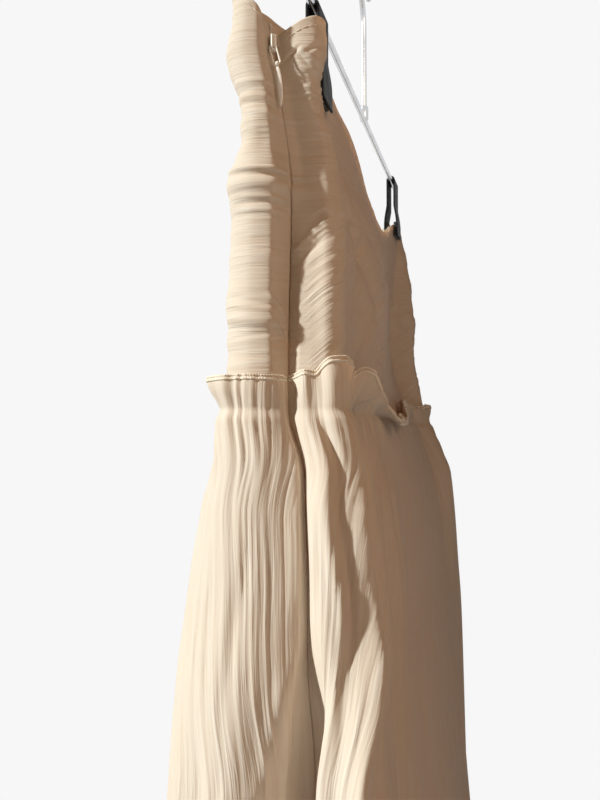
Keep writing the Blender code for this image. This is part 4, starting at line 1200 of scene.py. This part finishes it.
mesh = bmesh.new()
bmesh.ops.create_cube(mesh, size=1, matrix=Matrix.Diagonal((*SLIDER_SIZE, 1)))
bmesh.ops.subdivide_edges(mesh, edges=mesh.edges[:], cuts=3, use_grid_fill=True)
for vertex in mesh.verts:
    low = max(0.0, -vertex.co.z / (SLIDER_SIZE.z / 2))
    vertex.co.y *= 1 - SLIDER_TAPER * low**2
    waist = 1 - (2 * vertex.co.z / SLIDER_SIZE.z) ** 2
    if vertex.co.x > 0.2:
        vertex.co.x -= SLIDER_CROWN * waist * abs(vertex.co.y) / (SLIDER_SIZE.y / 2)
outer = [edge for edge in mesh.edges if edge.calc_face_angle(0) > 1.0]
bmesh.ops.bevel(mesh, geom=outer, offset=SLIDER_ROUNDING, segments=3, profile=0.5, affect="EDGES", material=-1)
bmesh.ops.transform(mesh, matrix=Matrix.Scale(MM, 4) @ Matrix.Translation(slider_centre), verts=mesh.verts)
piece = shaped("zip_slider_body", mesh, ENAMEL, sharp=50)
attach(piece, "skirt_and_hanger")
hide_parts("zip_slider")

half = [
    (BRIDGE_RISE, 0.0), (BRIDGE_RISE, BRIDGE_HALF_LENGTH - BRIDGE_BEND),
    (BRIDGE_RISE - BRIDGE_CORNER, BRIDGE_HALF_LENGTH - BRIDGE_CORNER),
    (BRIDGE_RISE - BRIDGE_BEND, BRIDGE_HALF_LENGTH), (-BRIDGE_ROOT, BRIDGE_HALF_LENGTH),
]
line = np.array([(x, -z) for x, z in half[:0:-1]] + half)
line = smooth_line(np.linspace(0, 1, len(line)), line, np.linspace(0, 1, BRIDGE_STEPS))
path = [(slider_face + x, slider_centre.y, slider_centre.z + z) for x, z in line]
piece = several("zip_slider_bridge", [tube_points(np.array(path) * MM, BRIDGE_WIRE / 2, 12)], ENAMEL)
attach(piece, "skirt_and_hanger")
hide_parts("zip_slider")

link_pivot = Vector((slider_face + LINK_OFF_FACE, slider_centre.y, slider_centre.z - LINK_DROP))
link_lean = Matrix.Rotation(LINK_LEAN, 3, "X")
half_width = LINK_WIDTH / 2 - LINK_WIRE / 2
low = LINK_WIRE - LINK_LENGTH
outline = rounded([(half_width, 0), (-half_width, 0), (-half_width, low), (half_width, low)], LINK_BEND)
path = np.array([link_pivot + link_lean @ Vector((0, y, z)) for y, z in outline]) * MM
piece = tube("zip_link_wire", path, LINK_WIRE / 2, ENAMEL, sides=12, closed=True)
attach(piece, "pull_link")
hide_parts("zip_pull_link")

# The tab's blade: how its outline swells and closes, how square its edge is, and how far it bows
TAB_SWELL = (0.8, 0.6)
TAB_CLOSES_FROM = 0.8
TAB_THINS_FROM = 0.88
TAB_SQUARE = 0.75
TAB_BOW = 0.35
TAB_ROOT = 0.1
TAB_NECK = 0.8


def closing(share, start):
    """1 up to a start, then rounded down to 0 at the end."""
    return np.sqrt(np.clip(1 - ((share - start) / (1 - start)).clip(0, 1) ** 2, 0, 1))


tab_pivot = np.array(link_pivot + link_lean @ Vector((0, 0, low)))
tab_lean = np.array(Matrix.Rotation(TAB_LEAN, 3, "X"))
turn, round_ = np.meshgrid(np.linspace(0, 2 * math.pi, 33), np.linspace(0, 2 * math.pi, 13), indexing="ij")
reach = EYE_RADIUS + EYE_WIRE * np.cos(round_)
eye = np.stack([reach * np.sin(turn), EYE_WIDTH / 2 * np.sin(round_), -reach * np.cos(turn)], axis=-1)
share, around = np.meshgrid(np.linspace(0, 1, 37), np.linspace(0, 2 * math.pi, 25), indexing="ij")
top, neck = EYE_RADIUS - TAB_ROOT, EYE_WIDTH / 2 * TAB_NECK
swell = np.sin(math.pi * share ** TAB_SWELL[0]) ** TAB_SWELL[1]
half_width = (neck + (TAB_WIDTH / 2 - neck) * swell) * closing(share, TAB_CLOSES_FROM)
half_depth = TAB_DEPTH / 2 * closing(share, TAB_THINS_FROM)
square = np.sign(np.sin(around)) * np.abs(np.sin(around)) ** TAB_SQUARE
bow = TAB_BOW * np.sin(math.pi * share)
drop = -top - share * (TAB_LENGTH - top)
blade = np.stack([half_depth * np.cos(around), half_width * square + bow, drop], axis=-1)
blade[0] = blade[0].mean(axis=0)
blade = blade @ tab_lean.T
piece = several("zip_tab_drop", [(tab_pivot + eye) * MM, (tab_pivot + blade) * MM], ENAMEL)
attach(piece, "pull_tab")
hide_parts("zip_pull_tab")


# Hanger. Hard-drawn steel wire, plated bright: a hook bent from one length is welded to the straight bar under
# a short collar, and the bar's ends are ground round.
WIRE_RADIUS = 1.8
HOOK_RADIUS = 21
HOOK_TURNS = (-62, 200)
HOOK_STEPS = 80
LINE_STEPS = 170
WIRE_SIDES = 20
BAR_Z = -114
BAR_HALF_LENGTH = 166
BAR_END = 3
BAR_STEPS = 30
END_STEPS = 6
NECK = ((0, BAR_Z), (0, -100), (0, -85), (0, -72), (0.1, -60), (1.0, -50), (4.2, -43))
# The collar's height over the bar and its share of the radius
COLLAR = ((-1.2, 0.55), (-0.4, 0.85), (1, 1), (8, 1), (8.7, 0.9), (9, 0.7))
COLLAR_RADIUS = 2.8
COLLAR_SIDES = 24
PLATED_STEEL = grained("plated_steel", (0.66, 0.67, 0.69), (0.58, 0.585, 0.60), 420.0, (1, 1, 0.12),
                       (0.14, 0.3), 0.12, 0.0001, Metallic=1.0)

angles = np.radians(np.linspace(*HOOK_TURNS, HOOK_STEPS))
bow = HOOK_RADIUS * np.stack([np.cos(angles), np.sin(angles)], axis=1) + (0, WIRE_RADIUS - HOOK_RADIUS)
line = np.vstack([np.array(NECK), bow])
steps = distances(line)
fine = np.linspace(0, steps[-1], LINE_STEPS)
line = smooth_line(steps, line, fine)
tip = ((fine - steps[-1] + WIRE_RADIUS) / WIRE_RADIUS).clip(0, 1)
radii = WIRE_RADIUS * np.sqrt(np.clip(1 - tip**2, 0.01, 1))
hook = tube_points(np.stack([line[:, 0], 0 * fine, line[:, 1]], axis=1) * MM, radii, WIRE_SIDES)

end = WIRE_RADIUS * (1 - np.cos(np.linspace(0.05, math.pi / 2, END_STEPS)))
middle = np.linspace(BAR_END - BAR_HALF_LENGTH, BAR_HALF_LENGTH - BAR_END, BAR_STEPS)
along = np.concatenate([end - BAR_HALF_LENGTH, middle, BAR_HALF_LENGTH - end[::-1]])
from_end = (BAR_HALF_LENGTH - np.abs(along)).clip(0, WIRE_RADIUS)
radii = np.sqrt(np.clip(WIRE_RADIUS**2 - (WIRE_RADIUS - from_end) ** 2, 0.02, None))
bar = tube_points(np.stack([along, 0 * along, 0 * along + BAR_Z], axis=1) * MM, radii, WIRE_SIDES)

up, share = np.array(COLLAR).T
collar = np.stack([0 * up, 0 * up, BAR_Z + up], axis=1) * MM
collar = tube_points(collar, COLLAR_RADIUS * share, COLLAR_SIDES)
piece = several("hanger_steel_wire", [hook, bar, collar], PLATED_STEEL)
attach(piece, "skirt_and_hanger")
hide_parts("hanger_wire")


# Hanger clips. Each is one strip of spring steel in glossy black, bent over the bar so that its two legs press
# together, with a pressed rib down each leg. Ribbed rubber grips are bonded inside the jaws.
CLIP_WIDTH = 22
CLIP_SHEET = 1.2
CLIP_NECK = 2.7
CLIP_STEPS = 120
JAW_BOTTOM = -158
# A leg from the neck down, in Y and Z
CLIP_LEG = ((2.7, -122), (2.7, -134), (3.0, -136), (4.45, -145), (4.75, -150), (4.75, -155), (5.05, JAW_BOTTOM))
CLIP_CORNER = ((0.35, 0.0), (0.1, 0.1), (0.0, 0.35))
RIB_RISE = 0.35
RIB_WIDTH = 2.6
RIB_ENDS = 6
GRIP_INNER = 2.1
GRIP_SIZE = Vector((18, 1.8, 11))
GRIP_ROUNDING = 0.35
GRIP_RIBS = (-4.2, 4.2, 7)
GRIP_RIB_RADIUS = 0.45
GRIP_RIB_SUNK = 0.15
GRIP_RIB_SHORTER = 1.2
BLACK_ENAMEL = grained("black_enamel", (0.020, 0.022, 0.024), (0.034, 0.036, 0.038), 260.0, (1, 1, 1),
                       (0.5, 0.62), 0.12, 0.0003, Metallic=0.0, Specular_IOR_Level=0.06)
GRIP_RUBBER = grained("grip_rubber", (0.032, 0.026, 0.022), (0.052, 0.044, 0.038), 1400.0, (1, 1, 1),
                      (0.65, 0.85), 0.3, 0.0002)


def clip_line():
    """The strip's middle line in Y and Z, from one jaw over the bar to the other."""
    turns = np.linspace(1.57, 0, 9)
    half = [(CLIP_NECK * math.cos(turn), BAR_Z + CLIP_NECK * math.sin(turn)) for turn in turns] + list(CLIP_LEG)
    line = np.array([(-y, z) for y, z in half[:0:-1]] + half)
    steps = distances(line)
    return smooth_line(steps, line, np.linspace(0, steps[-1], CLIP_STEPS))


def strip_section():
    """The strip's own outline, across it and through it, with its corners rounded."""
    across, through = CLIP_WIDTH / 2, CLIP_SHEET / 2
    corners = [(across, through), (-across, through), (-across, -through), (across, -through)]
    section = []
    for number, (x, depth) in enumerate(corners):
        enter = CLIP_CORNER if number % 2 else CLIP_CORNER[::-1]
        section += [(x - math.copysign(a, x), depth - math.copysign(b, depth)) for a, b in enter]
        if number % 2 == 0:
            section += [(x * (1 - 2 * part), depth) for part in np.linspace(0.12, 0.88, 15)]
    return np.array(section + section[:1])


def clip_strip(name, centre):
    """The bent strip of one clip."""
    line, section = clip_line(), strip_section()
    along = np.gradient(line, axis=0)
    out = np.stack([-along[:, 1], along[:, 0]], axis=1)
    out /= np.linalg.norm(out, axis=1, keepdims=True)
    rib = RIB_RISE * np.exp(-((section[:, 0] / RIB_WIDTH) ** 2))
    low = fall(line[:, 1], BAR_Z - RIB_ENDS, RIB_ENDS) * rise(line[:, 1], JAW_BOTTOM + RIB_ENDS, RIB_ENDS)
    depth = (section[:, 1] + rib * low[:, None])[..., None]
    across = centre + section[:, 0, None] + 0 * depth
    points = np.concatenate([across, line[:, None] + out[:, None] * depth], axis=-1) * MM
    ends = points[[0, -1]].mean(axis=1, keepdims=True) + 0 * points[[0, -1]]
    piece = several(f"{name}_strip", [np.concatenate([ends[:1], points, ends[1:]])], BLACK_ENAMEL)
    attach(piece, "skirt_and_hanger")
    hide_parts(f"{name}_spring")


def clip_grip(name, side, centre, turn):
    """A rubber grip with ribs on the face that presses the cloth."""
    mesh = bmesh.new()
    bmesh.ops.create_cube(mesh, size=1, matrix=Matrix.Diagonal((*GRIP_SIZE, 1)))
    bmesh.ops.bevel(mesh, geom=mesh.edges[:], offset=GRIP_ROUNDING, segments=3, profile=0.5, affect="EDGES",
                    material=-1)
    face = -turn * (GRIP_SIZE.y / 2 - GRIP_RIB_SUNK)
    for level in np.linspace(*GRIP_RIBS):
        lies = Matrix.Translation((0, face, level)) @ Matrix.Rotation(math.pi / 2, 4, "Y")
        bmesh.ops.create_cone(mesh, cap_ends=True, segments=10, depth=GRIP_SIZE.x - GRIP_RIB_SHORTER,
                              radius1=GRIP_RIB_RADIUS, radius2=GRIP_RIB_RADIUS, matrix=lies)
    middle = Vector((centre, turn * (GRIP_INNER + GRIP_SIZE.y / 2), JAW_BOTTOM + GRIP_SIZE.z / 2))
    bmesh.ops.transform(mesh, matrix=Matrix.Scale(MM, 4) @ Matrix.Translation(middle), verts=mesh.verts)
    piece = shaped(f"{name}_rubber_{side}", mesh, GRIP_RUBBER, sharp=45)
    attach(piece, "skirt_and_hanger")
    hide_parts(f"{name}_grip_{side}")


for name, centre in (("clip_near", CLIP_X), ("clip_far", -CLIP_X)):
    clip_strip(name, centre)
    clip_grip(name, "front", centre, -1)
    clip_grip(name, "back", centre, 1)


# Floor, light and view. A pale floor under the hem, warm soft light from the front and left of the zip end, and
# the camera close to the zip end at the gathered seam's height, a little behind the skirt.
FLOOR_Z = -1.16
FLOOR_RADIUS = 1.25
KEY_AROUND = math.radians(-60)
KEY_UP = math.radians(28)
SHADE_LIGHT = (0.050, 0.026, 0.0145, 1)
BACKDROP = (0.93, 0.93, 0.93, 1)
EYE = Vector((0.540, 0.086, -0.316))
TURN = math.radians(193.35)
TILT = math.radians(2.4)
FOCAL_PIXELS = 864
IMAGE_HEIGHT = 800
SENSOR = 36

mesh = bmesh.new()
bmesh.ops.create_circle(mesh, cap_ends=True, segments=96, radius=FLOOR_RADIUS)
bmesh.ops.translate(mesh, verts=mesh.verts, vec=(0, 0, FLOOR_Z))
pale = dressed("pale_floor", {"Base Color": (0.86, 0.86, 0.86, 1), "Roughness": 0.9})[2]
floor = shaped("floor", mesh, pale)


def direction(around, up):
    """The way out from the origin at an angle round it and an angle up."""
    return Vector((math.cos(around) * math.cos(up), math.sin(around) * math.cos(up), math.sin(up)))



def light(name, kind, place, aim, energy, colour, **sizes):
    """A lamp at a place, turned to where it aims."""
    lamp = bpy.data.lights.new(name, kind)
    lamp.energy = energy
    lamp.color = colour
    for label, value in sizes.items():
        setattr(lamp, label, value)
    made = bpy.data.objects.new(name, lamp)
    made.location = place
    made.rotation_euler = (Vector(aim) - Vector(place)).to_track_quat("-Z", "Y").to_euler()
    bpy.context.scene.collection.objects.link(made)


key_from = direction(KEY_AROUND, KEY_UP) * 3
light("key", "SUN", key_from, (0, 0, 0), 5.0, (0.98, 0.99, 0.935), angle=math.radians(3))
light("near_fill", "AREA", (0.56, 0.44, 0.0), (0.19, 0, -0.25), 1.35, (1.0, 0.67, 0.43), size=0.4)

world = bpy.data.worlds.new("studio")
bpy.context.scene.world = world
world.use_nodes = True
tree = world.node_tree
rays = add(tree, "LightPath")
seen = maths(tree, "MAXIMUM", rays.outputs["Is Camera Ray"], rays.outputs["Is Glossy Ray"])
shade = add(tree, "Mix", {0: seen, 6: SHADE_LIGHT, 7: BACKDROP}, data_type="RGBA")
tree.links.new(shade.outputs[2], tree.nodes["Background"].inputs["Color"])

scene = bpy.context.scene
scene.view_settings.view_transform = "Standard"
lens = bpy.data.cameras.new("view")
lens.sensor_width = SENSOR
lens.lens = FOCAL_PIXELS / IMAGE_HEIGHT * SENSOR
lens.clip_start = 0.01
camera = bpy.data.objects.new("view", lens)
camera.location = EYE
camera.rotation_euler = direction(TURN, TILT).to_track_quat("-Z", "Y").to_euler()
scene.collection.objects.link(camera)
scene.camera = camera
